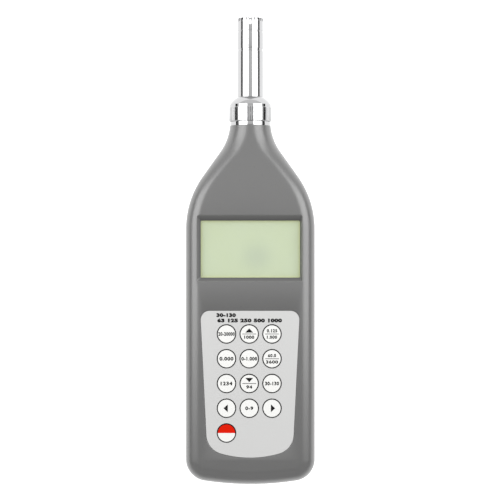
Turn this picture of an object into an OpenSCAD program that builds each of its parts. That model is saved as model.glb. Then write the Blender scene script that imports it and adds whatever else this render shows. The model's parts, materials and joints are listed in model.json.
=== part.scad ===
// Hand-held sound level meter with a detachable half-inch microphone.
// The meter lies on its back: X is across the case, Y runs from the foot to the
// microphone, and Z points out of the display. Units are millimetres.

/* [Case] */
// Length of the two-part plastic case, foot to neck
case_len = 180.4; // [175:0.2:200]
// Width across the case just above the foot corners
case_w = 64.9; // [64.7:0.1:74]
// Thickness from the back to the display face
case_t = 26; // [25:0.5:30]
// How much narrower each side is at the shoulder than at the foot
side_draft = 0; // [0:0.1:1]
// Thickness of the moulded walls
wall = 2.2; // [1.8:0.1:2.6]
// Radius that rounds the front and back edges of the body
edge_r = 7; // [5:0.5:8]
// Plan radius of the two foot corners
corner_r = 11; // [9:0.5:16]
// Plan radius of the gently bowed foot
foot_r = 150; // [100:10:300]

/* [Neck and shoulders] */
// Outside diameter of the neck where the metal collar seats
neck_d = 20.7; // [20.4:0.1:23]
// Flare of the neck at its mouth, in degrees
neck_flare = 6; // [4:0.5:12]
// Slope of the straight part of the shoulders, in degrees
shoulder_angle = 35; // [32:1:38]
// Plan radius of the hollow curve below the neck
waist_r = 28; // [22:1:30]
// Plan radius of the full curve above the sides
shoulder_r = 46; // [36:1:48]

/* [Display] */
// Width of the opening at the face
window_w = 52.5; // [46:0.1:52.6]
// Height of the opening at the face
window_h = 32.8; // [28:0.2:34]
// Distance from the neck down to the middle of the opening
window_drop = 62; // [60:0.5:66]
// Width of the sloping sill at the left
sill_left = 1.85; // [1:0.05:2.2]
// Width of the sloping sill at the right
sill_right = 1.05; // [1:0.05:2.2]
// Width of the sloping sill at the top
sill_top = 2.4; // [1.5:0.1:3]
// Width of the sloping sill at the bottom
sill_bottom = 1.9; // [1.5:0.1:3]
// Thickness of the clear window
window_t = 1.2; // [0.8:0.1:1.6]

/* [Keypad] */
// Width of the keypad overlay at its top
pad_w = 49.2; // [47:0.2:50]
// Width of the overlay where its lower corners start
pad_low_w = 43.6; // [42:0.2:47]
// Height of the overlay
pad_h = 73.3; // [71:0.1:76]
// Distance from the neck down to the top of the overlay
pad_drop = 93; // [91:0.5:96]
// How far right of the case's centre line the overlay lies
pad_shift = -0.15; // [-0.5:0.05:0.5]
// How far right of the case's centre line the middle column of keys lies
key_shift = -0.55; // [-0.8:0.05:0.8]
// Diameter of a key cap
key_d = 8.9; // [7.5:0.1:9.3]
// Distance between key columns
key_pitch_x = 11.35; // [11.1:0.05:12]
// Distance between key rows
key_pitch_y = 12.35; // [11.4:0.05:12.6]
// How far a key moves when it is pressed
key_travel = 0.4; // [0.2:0.05:0.5]

/* [Microphone] */
// Diameter of the microphone and its preamplifier tube
mic_d = 13.2; // [12.7:0.1:13.6]
// Distance the microphone stands out of the neck, from the case to its tip
mic_len = 54.6; // [50:0.2:64]
// Length of the slotted protection grid
grid_len = 6.7; // [5:0.1:8]
// Number of slots round the rim of the grid; every fifth one runs down its side
grid_slots = 20; // [15:5:25]
// Length of the capsule below the grid
capsule_len = 8.9; // [7:0.1:12]
// Greatest diameter of the lock nut, over the knurl
nut_d = 21.9; // [21.6:0.1:24]
// Length of the knurled band
knurl_len = 7.1; // [5:0.1:8]
// Number of teeth round the knurled band
knurl_teeth = 60; // [36:2:64]
// Lift of the lock nut and microphone when they are unscrewed
unscrew_lift = 4.5; // [3:0.5:4.5]

/* [Battery bay] */
// Diameter of a cell
cell_d = 10.4; // [10:0.1:10.5]
// Length of a cell without its positive button
cell_len = 43.5; // [43:0.1:44]
// Thickness of the sliding door
door_t = 1.9; // [1.6:0.1:2.2]

/* [Back and side] */
// Radius inside the tripod insert
tripod_r = 2.6; // [2.4:0.1:3]
// Depth of the tripod insert
tripod_depth = 8; // [6:0.5:9]
// Radius inside the output jack
jack_r = 1.8; // [1.3:0.1:1.9]

/* [Hidden] */
$fn = 64;

// Running and assembly gaps
gap = 0.15;          // between fixed pieces that drop into one another
key_gap = 0.2;       // between a key cap and its hole in the overlay
slide_gap = 0.1;     // between the door and its rails
thread_gap = 0.08;   // between plain cylinders that stand for mating threads
over = 1;            // how far a cutter runs past the face it cuts

// Levels along Y
y_tip = (case_len + mic_len) / 2;
y_foot = -y_tip;
y_neck = y_foot + case_len;

// Levels along Z
z_face = case_t;
z_part = case_t / 2;
z_axis = z_part;
z_in = z_face - wall;

// ---- Case outline -------------------------------------------------------
foot_half = case_w / 2;
shoulder_half = foot_half - side_draft;
flare_top = neck_d / 2;
waist_dx = waist_r * (cos(neck_flare) - cos(shoulder_angle));
crest_dx = shoulder_r * (1 - cos(shoulder_angle));
slope_dx = shoulder_half - flare_top - waist_dx - crest_dx;
slope_len = slope_dx / sin(shoulder_angle);
y_slope_top = y_neck - waist_r * (sin(shoulder_angle) - sin(neck_flare));
y_slope_low = y_slope_top - slope_len * cos(shoulder_angle);
y_crest = y_slope_low - shoulder_r * sin(shoulder_angle);
corner_cx = foot_half - corner_r;
corner_cy = y_foot + foot_r - sqrt(pow(foot_r - corner_r, 2) - pow(corner_cx, 2));
foot_turn = asin(corner_cx / (foot_r - corner_r));
arc_steps = 8;

// One outline station: [x, y, inward x, inward y], where the inward vector moves a
// point so that it lies one millimetre inside the outline.
function waist_station(a) = [flare_top + waist_r * (cos(neck_flare) - cos(a)),
    y_neck - waist_r * (sin(a) - sin(neck_flare)), -1 / cos(a), 0];
function slope_station(s) = [flare_top + waist_dx + slope_dx * s,
    y_slope_top + (y_slope_low - y_slope_top) * s, -1 / cos(shoulder_angle), 0];
function crest_station(a) = [shoulder_half - shoulder_r * (1 - cos(a)),
    y_crest + shoulder_r * sin(a), -1 / cos(a), 0];
function side_station(s) = [shoulder_half + side_draft * s,
    y_crest + (corner_cy - y_crest) * s, -1, 0];
function corner_station(b) = [corner_cx + corner_r * cos(b), corner_cy - corner_r * sin(b),
    -cos(b), sin(b)];
function foot_station(c) = [foot_r * sin(c), y_foot + foot_r * (1 - cos(c)), -sin(c), cos(c)];
function span(from, to, steps) = [for (i = [0:steps]) from + (to - from) * i / steps];
function tail(list) = [for (i = [1:len(list) - 1]) list[i]];

right_side = concat(
    [for (a = span(neck_flare, shoulder_angle, arc_steps)) waist_station(a)],
    [for (s = tail(span(0, 1, 2))) slope_station(s)],
    [for (a = tail(span(shoulder_angle, 0, arc_steps))) crest_station(a)],
    [for (s = tail(span(0, 1, 2))) side_station(s)],
    [for (b = tail(span(0, 90 - foot_turn, arc_steps))) corner_station(b)],
    [for (c = tail(span(foot_turn, 0, 3))) foot_station(c)]);

// Half thickness and edge radius: constant on the body, then easing to a round neck.
neck_half_t = neck_d / 2;
neck_edge_r = neck_d / 2 - 0.4;
function ease(t) = let (u = min(1, max(0, t))) u * u * (3 - 2 * u);
function half_t(y) = case_t / 2
    + (neck_half_t - case_t / 2) * ease((y - y_crest - 8) / (y_neck - y_crest - 8));
function edge_at(y) = edge_r
    + (neck_edge_r - edge_r) * ease((y - y_slope_low) / (y_neck - 3 - y_slope_low));

edge_steps = 6;

// Point k of the rounded wall at one station, a skin's depth `off` inside the case:
// k = 0 is on the parting plane and the last lies where the face starts.
function wall_point(st, k, off, dip) =
    let (r = edge_at(st[1]), t = (k - 1) * 90 / edge_steps,
        inset = k == 0 ? off : r - (r - off) * cos(t),
        z = k == 0 ? -dip : half_t(st[1]) - r + (r - off) * sin(t))
    [st[0] + st[2] * inset, st[1] + st[3] * inset, z];

// Half of the case as one closed solid above Z = 0. With `off` it is the space inside
// a wall of that thickness, and `dip` runs it on past the parting plane and the neck.
module half_case(off = 0, dip = 0) {
    first = right_side[0];
    lead = dip > 0 ? [[first[0], first[1] + dip, first[2], first[3]]] : [];
    right = concat(lead, right_side);
    n = len(right) - 1;
    left = [for (i = [n - 1:-1:0]) [-right[i][0], right[i][1], -right[i][2], right[i][3]]];
    ring = concat(right, left);
    rows = edge_steps + 2;
    points = [for (st = ring) for (k = [0:rows - 1]) wall_point(st, k, off, dip)];
    function at(i, k) = i * rows + k;
    last = 2 * n;
    sides = [for (i = [0:last - 1]) for (k = [0:rows - 2])
        each [[at(i, k), at(i + 1, k), at(i + 1, k + 1)],
            [at(i, k), at(i + 1, k + 1), at(i, k + 1)]]];
    top = rows - 1;
    face = [for (i = [0:n - 1]) i + 1 == n
        ? [at(n, top), at(last - i, top), at(i, top)]
        : [at(i + 1, top), at(last - i - 1, top), at(last - i, top), at(i, top)]];
    base = [for (i = [0:n - 1]) i + 1 == n
        ? [at(i, 0), at(last - i, 0), at(n, 0)]
        : [at(i, 0), at(last - i, 0), at(last - i - 1, 0), at(i + 1, 0)]];
    mouth = [concat([for (k = [0:top]) at(0, k)], [for (k = [top:-1:0]) at(last, k)])];
    polyhedron(points, concat(sides, face, base, mouth));
}

module front_half(off = 0, dip = 0) {
    translate([0, 0, z_part]) half_case(off, dip);
}

module rear_half(off = 0, dip = 0) {
    translate([0, 0, z_part]) mirror([0, 0, 1]) half_case(off, dip);
}

// ---- Small helpers ------------------------------------------------------
// A block given by its two corners
module block(low, high) {
    translate(low) cube(high - low);
}

// A cylinder along Y from y0 to y1, on the microphone's axis
module barrel(r, y0, y1) {
    translate([0, y0, z_axis]) rotate([-90, 0, 0]) cylinder(r = r, h = y1 - y0);
}

// A cylinder along Z from z0 to z1
module post(x, y, r, z0, z1) {
    translate([x, y, z0]) cylinder(r = r, h = z1 - z0);
}

// A profile of [radius, y] points turned about the microphone's axis
module turned(profile) {
    translate([0, 0, z_axis]) rotate([-90, 0, 0]) rotate_extrude() polygon(profile);
}

// A round tube that follows a list of points; ref is a direction no stretch runs along
module tube(path, r, sides, ref) {
    n = len(path);
    function unit(v) = v / norm(v);
    function along(i) = unit(path[min(n - 1, i + 1)] - path[max(0, i - 1)]);
    points = [for (i = [0:n - 1])
        let (u = unit(cross(along(i), ref)), v = cross(along(i), u))
        for (j = [0:sides - 1]) path[i] + r * (cos(360 * j / sides) * u + sin(360 * j / sides) * v)];
    skin = [for (i = [0:n - 2]) for (j = [0:sides - 1])
        let (a = i * sides + j, b = i * sides + (j + 1) % sides)
        each [[a, b + sides, b], [a, a + sides, b + sides]]];
    polyhedron(points, concat(skin, [[for (j = [0:sides - 1]) j]],
        [[for (j = [sides - 1:-1:0]) (n - 1) * sides + j]]));
}

module mirrored_pair() {
    children();
    mirror([1, 0, 0]) children();
}

// ---- Display opening ----------------------------------------------------
window_y = y_neck - window_drop;
view_w = window_w - sill_left - sill_right;
window_x = (sill_right - sill_left) / 2;
view_h = window_h - sill_top - sill_bottom;
view_y = window_y + (sill_bottom - sill_top) / 2;
z_window = z_in - window_t;

module display_opening() {
    hull() {
        translate([window_x, window_y, z_face]) cube([window_w, window_h, 0.02], center = true);
        translate([0, view_y, z_in]) cube([view_w, view_h, 0.02], center = true);
    }
    translate([0, view_y, z_in]) cube([view_w, view_h, 2 * over], center = true);
    translate([window_x, window_y, z_face + over / 2])
        cube([window_w, window_h, over], center = true);
}

// ---- Keypad outline -----------------------------------------------------
pad_y = y_neck - pad_drop;
pad_top_r = 4.5;
pad_low_r = 10;
pad_foot_r = 52;
pad_low_cx = pad_low_w / 2 - pad_low_r;
pad_foot_y = pad_y - pad_h;
pad_low_cy = pad_foot_y + pad_foot_r - sqrt(pow(pad_foot_r - pad_low_r, 2) - pow(pad_low_cx, 2));
pad_foot_turn = asin(pad_low_cx / (pad_foot_r - pad_low_r));

// Right half of the overlay's outline from its top middle, `off` inside the edge
function pad_half(off) = concat(
    [for (a = span(90, 0, 6)) [pad_w / 2 - pad_top_r + (pad_top_r - off) * cos(a),
        pad_y - pad_top_r + (pad_top_r - off) * sin(a)]],
    [for (b = span(0, 90 - pad_foot_turn, 8)) [pad_low_cx + (pad_low_r - off) * cos(b),
        pad_low_cy - (pad_low_r - off) * sin(b)]],
    [for (c = tail(span(pad_foot_turn, 0, 4))) [(pad_foot_r - off) * sin(c),
        pad_foot_y + pad_foot_r - (pad_foot_r - off) * cos(c)]]);

module pad_plate(off, z0, z1) {
    half = pad_half(off);
    other = [for (i = [len(half) - 2:-1:0]) [-half[i][0], half[i][1]]];
    translate([pad_shift, 0, z0]) linear_extrude(z1 - z0) polygon(concat(half, other));
}

// Keypad layers, from the face down
overlay_t = 0.4;
overlay_drop = 0.1;
key_proud = 0.25;
spacer_t = 1.4;
pad_board_t = 0.8;
z_overlay = z_face - overlay_drop;
z_spacer = z_overlay - overlay_t;
z_pad_board = z_spacer - spacer_t;
z_pad_floor = z_pad_board - pad_board_t;
pad_backing = 1.5;
z_pad_inner = z_pad_floor - pad_backing;

// Keys
key_r = key_d / 2;
key_hole_r = key_r + key_gap;
flange_r = key_r + 0.55;
flange_t = 0.45;
pocket_r = flange_r + gap;
stem_r = 1.4;
dome_r = 3.6;
dome_h = 0.4;
dome_t = 0.12;
key_row_y = pad_y - 11.57;
key_spots = concat([for (row = [0:3]) for (col = [-1:1])
    [key_shift + col * key_pitch_x, key_row_y - row * key_pitch_y]],
    [[key_shift - key_pitch_x, key_row_y - 4 * key_pitch_y]]);

// ---- Main board ---------------------------------------------------------
board_t = 1.6;
z_board = 15.2 + (case_t - 26) / 2;
z_board_top = z_board + board_t;
board_half_w = foot_half - wall - 2.7;
board_foot_y = corner_cy + 3.4;
board_wide_y = y_crest + 4;
board_neck_y = y_neck - 17.4;
board_spots = [for (y = [window_y - 25, board_foot_y + 9]) [board_half_w - 2.7, y]];
board_hole_r = 1.35;

// LCD module, from the window down to the board
gasket_t = 0.5;
glass_t = 1.1;
window_lip = 0.3;
window_land = 2.4;
gasket_gap = 0.2;
module_w = view_w + 3.6;
glass_h = view_h + 7.8;
rear_glass_h = view_h + 2.9;
panel_t = 2.6;
z_gasket = z_window - gasket_t;
z_front_glass = z_gasket - glass_t;
z_rear_glass = z_front_glass - glass_t;
z_panel = z_rear_glass - panel_t;
strip_w = 2;
strip_len = view_w;
strip_y = (rear_glass_h / 2 + glass_h / 2) / 2 + gap;
holder_rim = 1.5;
holder_w = module_w + 2 * holder_rim;
holder_h = glass_h + 2 * holder_rim;
peg_r = 0.9;
peg_spots = [for (sx = [-1, 1]) for (sy = [-1, 1])
    [sx * (holder_w / 2 - 1.6), view_y + sy * (holder_h / 2 - 5)]];

// ---- Battery bay --------------------------------------------------------
cell_pitch = cell_d + 0.35;
cell_count = 4;
cell_xs = [for (i = [0:cell_count - 1]) (i - (cell_count - 1) / 2) * cell_pitch];
button_r = 1.9;
button_len = 1;
bay_half_w = cell_count * cell_pitch / 2 + 0.1;
bay_wall = 1.2;
spring_len = 4.6;
plate_t = 0.4;
bay_len = cell_len + button_len + spring_len + 2 * plate_t;
bay_foot_y = y_foot + 17;
bay_top_y = bay_foot_y + bay_len;
door_sink = 0.1;
z_door_top = door_sink + door_t;
z_track = z_door_top + slide_gap;
z_cell = z_track + 0.3 + cell_d / 2;
z_bay_top = z_cell + cell_d / 2 + 0.2;
door_half_w = bay_half_w + 0.7;
tongue = 0.8;
tongue_z = door_sink + 0.7;
tongue_t = 0.7;
door_top_y = bay_top_y + 2.2;
track_t = 1.9;

// Case screws: two hidden under the door's foot and two at the shoulders
screw_r = 1.45;
screw_hole_r = 1.7;
screw_pilot_r = 1.5;
screw_head_r = 2.7;
screw_head_t = 2;
head_hole_r = 3;
post_r = 4.2;
boss_r = 3.2;
head_ledge = 4.6;
low_screw = [17, bay_foot_y - bay_wall - post_r - 1.1];
high_screw = [crest_station(28)[0] - wall / cos(28) - post_r + 0.7, crest_station(28)[1]];
screw_spots = [low_screw, high_screw];
screw_seats = [z_track, 0];
pilot_top = z_part + 8;

// Tripod insert
insert_r = tripod_r + 1.6;
insert_y = bay_top_y + 18;
insert_sink = 0.2;
insert_flange_r = insert_r + 0.8;
insert_flange_t = 1;

// Output jack
jack_y = bay_top_y + 16;
jack_nose_r = jack_r + 1.2;
jack_len = 12;
jack_body = [11, 6.4];
jack_half_w = side_station((y_crest - jack_y) / (y_crest - corner_cy))[0];
jack_face_x = jack_half_w - 0.3;
jack_body_x = jack_half_w - wall - 0.6;
z_jack = z_part;

// ---- Microphone ---------------------------------------------------------
mic_r = mic_d / 2;
nut_r = nut_d / 2;
nut_body_r = nut_r - 0.35;
collar_h = 2.2;
collar_r = flare_top - 0.1;
y_nut = y_neck + collar_h;
nut_clear = 0.1;
knurl_top = y_nut + knurl_len;
band_top = knurl_top + 1.4;
crown_r = 10;
crown_from = 29;
crown_to = 61;
cone_top = band_top + crown_r * (sin(crown_to) - sin(crown_from));
thread_r = flare_top - 1.9;
thread_top = y_nut + 5;
nut_shoulder = knurl_top;
flange_y0 = thread_top + 0.2;
flange_y1 = nut_shoulder - 0.1;
mic_flange_r = thread_r - 0.2;
y_capsule = y_tip - grid_len - capsule_len;
groove_len = 1.2;
relief_len = 0.55;
tube_top = y_capsule - groove_len;
tube_wall = 0.9;
tube_in_r = mic_r - tube_wall;

// Neck bush and socket
bush_in_r = thread_r - 1.9;
bush_r = min(8, flare_top - wall - gap);
bush_foot_y = y_neck - 12;
clamp_y0 = y_neck - 9.5;
clamp_y1 = y_neck - 7.5;
clamp_r = bush_in_r + 0.6;
socket_len = 9;
socket_top = y_nut - 0.2;
socket_foot = socket_top - socket_len;
plug_foot = socket_top + 0.4;
plug_top = flange_y1 + 1.2;
pin_r = 0.5;
pin_count = 4;
pin_circle = 3;
pin_len = 5;
pin_angles = [for (i = [0:pin_count - 1]) 45 + i * 360 / pin_count];

// ---- Case ---------------------------------------------------------------
module front_clamp() {
    intersection() {
        front_half(wall / 2);
        difference() {
            block([-foot_half, clamp_y0 + gap, z_part], [foot_half, clamp_y1 - gap, z_face]);
            barrel(clamp_r + gap, clamp_y0 - over, clamp_y1 + over);
        }
    }
}

module front_bosses() {
    intersection() {
        front_half(wall / 2);
        union() {
            mirrored_pair() {
                for (s = screw_spots) post(s[0], s[1], boss_r, z_part, z_face);
                for (s = board_spots) post(s[0], s[1], boss_r - 0.6, z_board_top, z_face);
            }
            pad_plate(-wall, z_pad_inner, z_in + wall / 4);
        }
    }
}

module front_shell() {
    color([0.47, 0.47, 0.46])
    difference() {
        union() {
            difference() {
                front_half();
                front_half(wall, over);
            }
            front_bosses();
            front_clamp();
        }
        display_opening();
        pad_plate(-gap, z_pad_floor, z_face + over);
        tail_slot();
        mirrored_pair() {
            for (s = screw_spots) post(s[0], s[1], screw_pilot_r, z_part - over, pilot_top);
            for (s = board_spots) post(s[0], s[1], 1.1, z_board_top - over, z_board_top + 4.5);
        }
        jack_hole();
    }
}

module jack_hole() {
    translate([jack_body_x - over, jack_y, z_jack]) rotate([0, 90, 0])
        cylinder(r = jack_nose_r + gap, h = wall + 2 * over + 1);
}

module door_track() {
    block([-door_half_w - slide_gap, y_foot - over, -over],
        [door_half_w + slide_gap, door_top_y + slide_gap, z_track]);
    block([-door_half_w - tongue - slide_gap, y_foot - over, tongue_z - slide_gap],
        [door_half_w + tongue + slide_gap, door_top_y + slide_gap, tongue_z + tongue_t + slide_gap]);
}

module rear_inside() {
    intersection() {
        rear_half(wall / 2);
        union() {
            block([-bay_half_w - bay_wall, bay_foot_y - bay_wall, wall / 2],
                [bay_half_w + bay_wall, bay_top_y + bay_wall, z_part]);
            block([-door_half_w - tongue - 2, y_foot, wall / 2],
                [door_half_w + tongue + 2, door_top_y + 2.5, z_track + track_t]);
            mirrored_pair() for (s = screw_spots) post(s[0], s[1], post_r, wall / 2, z_part);
            post(0, insert_y, insert_r + 1.8, wall / 2, insert_sink + tripod_depth + 2);
            difference() {
                block([-foot_half, clamp_y0 + gap, 0], [foot_half, clamp_y1 - gap, z_part]);
                barrel(clamp_r + gap, clamp_y0 - over, clamp_y1 + over);
            }
        }
    }
}

module bay_roof() {
    block([-bay_half_w - bay_wall, bay_foot_y - bay_wall, z_part - 0.5],
        [bay_half_w + bay_wall, bay_top_y + bay_wall, z_bay_top + bay_wall]);
}

module rear_shell() {
    color([0.45, 0.45, 0.44])
    difference() {
        union() {
            difference() {
                rear_half();
                rear_half(wall, over);
            }
            rear_inside();
            bay_roof();
        }
        door_track();
        block([-bay_half_w, bay_foot_y, -over], [bay_half_w, bay_top_y, z_bay_top]);
        for (i = [0:1]) mirrored_pair() {
            post(screw_spots[i][0], screw_spots[i][1], screw_hole_r, -over, z_part + over);
            post(screw_spots[i][0], screw_spots[i][1], head_hole_r, -over, head_ledge);
        }
        post(0, insert_y, insert_r + thread_gap, -over, insert_sink + tripod_depth);
        post(0, insert_y, insert_flange_r + gap, -over, insert_sink + insert_flange_t);
        for (x = [cell_xs[0], cell_xs[cell_count - 1]]) lead_slot(x);
        jack_hole();
    }
}

module battery_door() {
    ribs = 5;
    color([0.44, 0.44, 0.43])
    difference() {
        union() {
            intersection() {
                rear_half(door_sink);
                block([-door_half_w, y_foot - over, 0], [door_half_w, door_top_y, z_door_top]);
            }
            block([-door_half_w - tongue, y_foot + corner_r, tongue_z],
                [door_half_w + tongue, door_top_y - 1, tongue_z + tongue_t]);
        }
        // Thumb grip: short grooves across the top of the door
        for (i = [0:ribs - 1])
            translate([0, door_top_y - 6 - i * 2, door_sink]) cube([16, 0.9, 0.9], center = true);
    }
}

module case_screws() {
    color([0.7, 0.7, 0.72])
    for (s = screw_spots) mirrored_pair() difference() {
        union() {
            post(s[0], s[1], screw_head_r, head_ledge - screw_head_t, head_ledge);
            post(s[0], s[1], screw_r, head_ledge - 0.1, pilot_top - 1.5);
        }
        for (a = [0, 90]) translate([s[0], s[1], head_ledge - screw_head_t]) rotate(a)
            cube([3.2, 0.7, 2], center = true);
    }
}

// ---- Display ------------------------------------------------------------
module display_window() {
    color([0.9, 0.95, 0.92, 0.4])
    translate([0, view_y, z_window + window_t / 2])
        cube([view_w + 2 * window_lip, view_h + 2 * window_land, window_t], center = true);
}

module display_gasket() {
    color([0.1, 0.1, 0.1])
    translate([0, view_y, z_gasket + gasket_t / 2]) difference() {
        cube([view_w + 2 * window_lip, view_h + 2 * window_land, gasket_t], center = true);
        cube([view_w + 2 * gasket_gap, view_h + 2 * gasket_gap, gasket_t + over], center = true);
    }
}

module plate_at(w, h, z0, t) {
    translate([0, view_y, z0 + t / 2]) cube([w, h, t], center = true);
}

module lcd_front_glass() {
    color([0.8, 0.87, 0.74]) plate_at(module_w, glass_h, z_front_glass, glass_t);
}

module lcd_rear_glass() {
    color([0.76, 0.84, 0.68]) plate_at(module_w, rear_glass_h, z_rear_glass, glass_t);
}

module backlight_panel() {
    color([0.85, 0.9, 0.6]) plate_at(module_w - 2, rear_glass_h - 0.4, z_panel, panel_t);
}

module strip_pair(w, len, z0, z1) {
    for (s = [-1, 1]) translate([0, view_y + s * strip_y, (z0 + z1) / 2])
        cube([len, w, z1 - z0], center = true);
}

module contact_strips() {
    color([0.85, 0.55, 0.6]) strip_pair(strip_w, strip_len, z_board_top, z_front_glass);
}

module lcd_holder() {
    rim_top = z_gasket - 0.2;
    color([0.15, 0.15, 0.16])
    difference() {
        union() {
            plate_at(holder_w, holder_h, z_board_top, rim_top - z_board_top);
            for (p = peg_spots) post(p[0], p[1], peg_r, z_board - 0.8, z_board_top + 0.1);
        }
        plate_at(module_w + 2 * gap, glass_h + 2 * gap, z_front_glass, 3);
        plate_at(module_w + 2 * gap, rear_glass_h + 2 * gap, z_rear_glass, 3);
        plate_at(module_w - 2 + 2 * gap, rear_glass_h - 0.4 + 2 * gap, z_panel, 4);
        strip_pair(strip_w + 2 * gap, strip_len + 2 * gap, z_board_top - over, z_front_glass + over);
    }
}

// ---- Keypad -------------------------------------------------------------
module keypad_overlay() {
    color([0.84, 0.84, 0.83])
    difference() {
        pad_plate(0, z_spacer, z_overlay);
        for (p = key_spots) post(p[0], p[1], key_hole_r, z_spacer - over, z_face);
    }
}

module keypad_spacer() {
    color([0.2, 0.2, 0.2])
    difference() {
        pad_plate(0, z_pad_board, z_spacer);
        for (p = key_spots) post(p[0], p[1], pocket_r, z_pad_board - over, z_face);
    }
}

module keypad_board() {
    color([0.1, 0.35, 0.2]) pad_plate(0, z_pad_floor, z_pad_board);
}

module snap_domes() {
    apex = 1.2;
    foot_z = z_pad_board;
    color([0.8, 0.8, 0.78])
    for (p = key_spots) translate([p[0], p[1], foot_z]) rotate_extrude()
        polygon([[0, dome_h - dome_t], [apex, dome_h - dome_t], [dome_r * 0.7, dome_h * 0.4],
            [dome_r - dome_t, 0], [dome_r, 0], [dome_r * 0.74, dome_h * 0.62], [apex, dome_h], [0, dome_h]]);
}

module key_at(i) {
    p = key_spots[i];
    flange_top = z_spacer - 0.1;
    flange_z = flange_top - flange_t;
    post(p[0], p[1], key_r, flange_z, z_overlay + key_proud);
    post(p[0], p[1], flange_r, flange_z, flange_top);
    post(p[0], p[1], stem_r, z_pad_board + dome_h + 0.05, flange_z + 0.1);
}

module key(i) {
    color(i == 12 ? [0.85, 0.2, 0.1] : [0.93, 0.93, 0.92]) key_at(i);
}

tail_w = 9;
tail_t = 0.3;
tail_y = pad_y - 3;

module tail_slot() {
    block([-tail_w / 2 - gap, tail_y - 0.35, z_pad_inner - over],
        [tail_w / 2 + gap, tail_y + 0.75, z_pad_floor + 0.1]);
}

module keypad_tail() {
    color([0.85, 0.55, 0.15])
    block([-tail_w / 2, tail_y, z_board_top + 1], [tail_w / 2, tail_y + tail_t, z_pad_floor]);
}

module tail_connector() {
    color([0.92, 0.9, 0.85])
    difference() {
        block([-tail_w / 2 - 1.5, tail_y - 1.2, z_board_top],
            [tail_w / 2 + 1.5, tail_y + 1.5, z_board_top + 2.2]);
        block([-tail_w / 2 - gap, tail_y - 0.1, z_board_top + 1],
            [tail_w / 2 + gap, tail_y + tail_t + 0.1, z_board_top + 3]);
    }
}

// ---- Electronics --------------------------------------------------------
module main_board() {
    half = [[board_half_w, board_foot_y], [board_half_w, board_wide_y],
        [board_half_w - 11, board_wide_y + 7], [board_half_w - 16, board_neck_y]];
    other = [for (i = [len(half) - 1:-1:0]) [-half[i][0], half[i][1]]];
    color([0.1, 0.38, 0.22])
    difference() {
        translate([0, 0, z_board]) linear_extrude(board_t) polygon(concat(half, other));
        mirrored_pair() for (s = board_spots) post(s[0], s[1], board_hole_r, z_board - over, z_face);
        for (p = peg_spots) post(p[0], p[1], peg_r + 0.1, z_board - over, z_face);
    }
}

module board_screws() {
    color([0.75, 0.75, 0.76])
    mirrored_pair() for (s = board_spots) {
        post(s[0], s[1], 2, z_board - 1.5, z_board);
        post(s[0], s[1], 1.05, z_board - 0.1, z_board_top + 4);
    }
}

module board_chips() {
    top_chips = [[[-12, pad_y - 20], [14, 14], 1.6], [[10, pad_y - 18], [10, 6], 1.5],
        [[10, pad_y - 30], [7, 7], 1.2], [[-12, pad_y - 42], [12, 5], 1.8]];
    color([0.12, 0.12, 0.13])
    for (c = top_chips) translate([c[0][0], c[0][1], z_board_top + c[2] / 2])
        cube([c[1][0], c[1][1], c[2]], center = true);
}

module shield_can() {
    can = [18, 14, 3];
    sheet = 0.3;
    color([0.8, 0.8, 0.8])
    translate([0, board_neck_y - 12, z_board_top]) difference() {
        translate([-can[0] / 2, -can[1] / 2, 0]) cube(can);
        translate([-can[0] / 2 + sheet, -can[1] / 2 + sheet, -over])
            cube([can[0] - 2 * sheet, can[1] - 2 * sheet, can[2] - sheet + over]);
    }
}

module output_jack() {
    color([0.12, 0.12, 0.12])
    difference() {
        union() {
            translate([jack_body_x - jack_body[0], jack_y - jack_body[1] / 2, z_jack - 2.6])
                cube([jack_body[0], jack_body[1], z_board - z_jack + 2.6]);
            translate([jack_body_x - 1, jack_y, z_jack]) rotate([0, 90, 0])
                cylinder(r = jack_nose_r, h = jack_face_x - jack_body_x + 1);
        }
        translate([jack_face_x - jack_len, jack_y, z_jack]) rotate([0, 90, 0])
            cylinder(r = jack_r, h = jack_len + over);
    }
}

// ---- Cells and contacts -------------------------------------------------
// Cell i points up the case when i is even and down when it is odd
module one_cell(i) {
    flip = i % 2;
    foot = flip ? bay_top_y - plate_t - spring_len : bay_foot_y + plate_t + spring_len;
    dir = flip ? -1 : 1;
    translate([cell_xs[i], foot, z_cell]) rotate([-90 * dir, 0, 0]) union() {
        cylinder(r = cell_d / 2, h = cell_len);
        cylinder(r = button_r, h = cell_len + button_len);
    }
}

module battery_cells() {
    color([0.2, 0.35, 0.6]) for (i = [0:cell_count - 1]) one_cell(i);
}

module cell_springs() {
    wire_r = 0.4;
    coil_r = 3.2;
    turns = 4;
    steps = 48;
    color([0.8, 0.8, 0.82])
    for (i = [0:cell_count - 1]) {
        flip = i % 2;
        base = flip ? bay_top_y - plate_t : bay_foot_y + plate_t;
        dir = flip ? -1 : 1;
        tube([for (s = [0:steps]) let (t = s / steps, a = 360 * turns * t, r = coil_r - 0.9 * t)
            [cell_xs[i] + r * cos(a), base + dir * (wire_r + (spring_len - 2 * wire_r) * t),
            z_cell + r * sin(a)]],
            wire_r, 6, [0, 1, 0]);
    }
}

module contact_plate(x0, x1, y) {
    block([x0, y, z_cell - 4.2], [x1, y + plate_t, z_cell + 4.2]);
}

module contact_plates() {
    edge = 4.6;
    color([0.78, 0.78, 0.76]) {
        for (i = [0, 2]) contact_plate(cell_xs[i] - edge, cell_xs[i + 1] + edge, bay_foot_y);
        contact_plate(cell_xs[1] - edge, cell_xs[2] + edge, bay_top_y - plate_t);
        for (i = [0, 3]) {
            contact_plate(cell_xs[i] - edge, cell_xs[i] + edge, bay_top_y - plate_t);
            block([cell_xs[i] - 1.2, bay_top_y - 0.1, z_cell],
                [cell_xs[i] + 1.2, bay_top_y + bay_wall + 1.6, z_cell + plate_t]);
        }
    }
}

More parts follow.
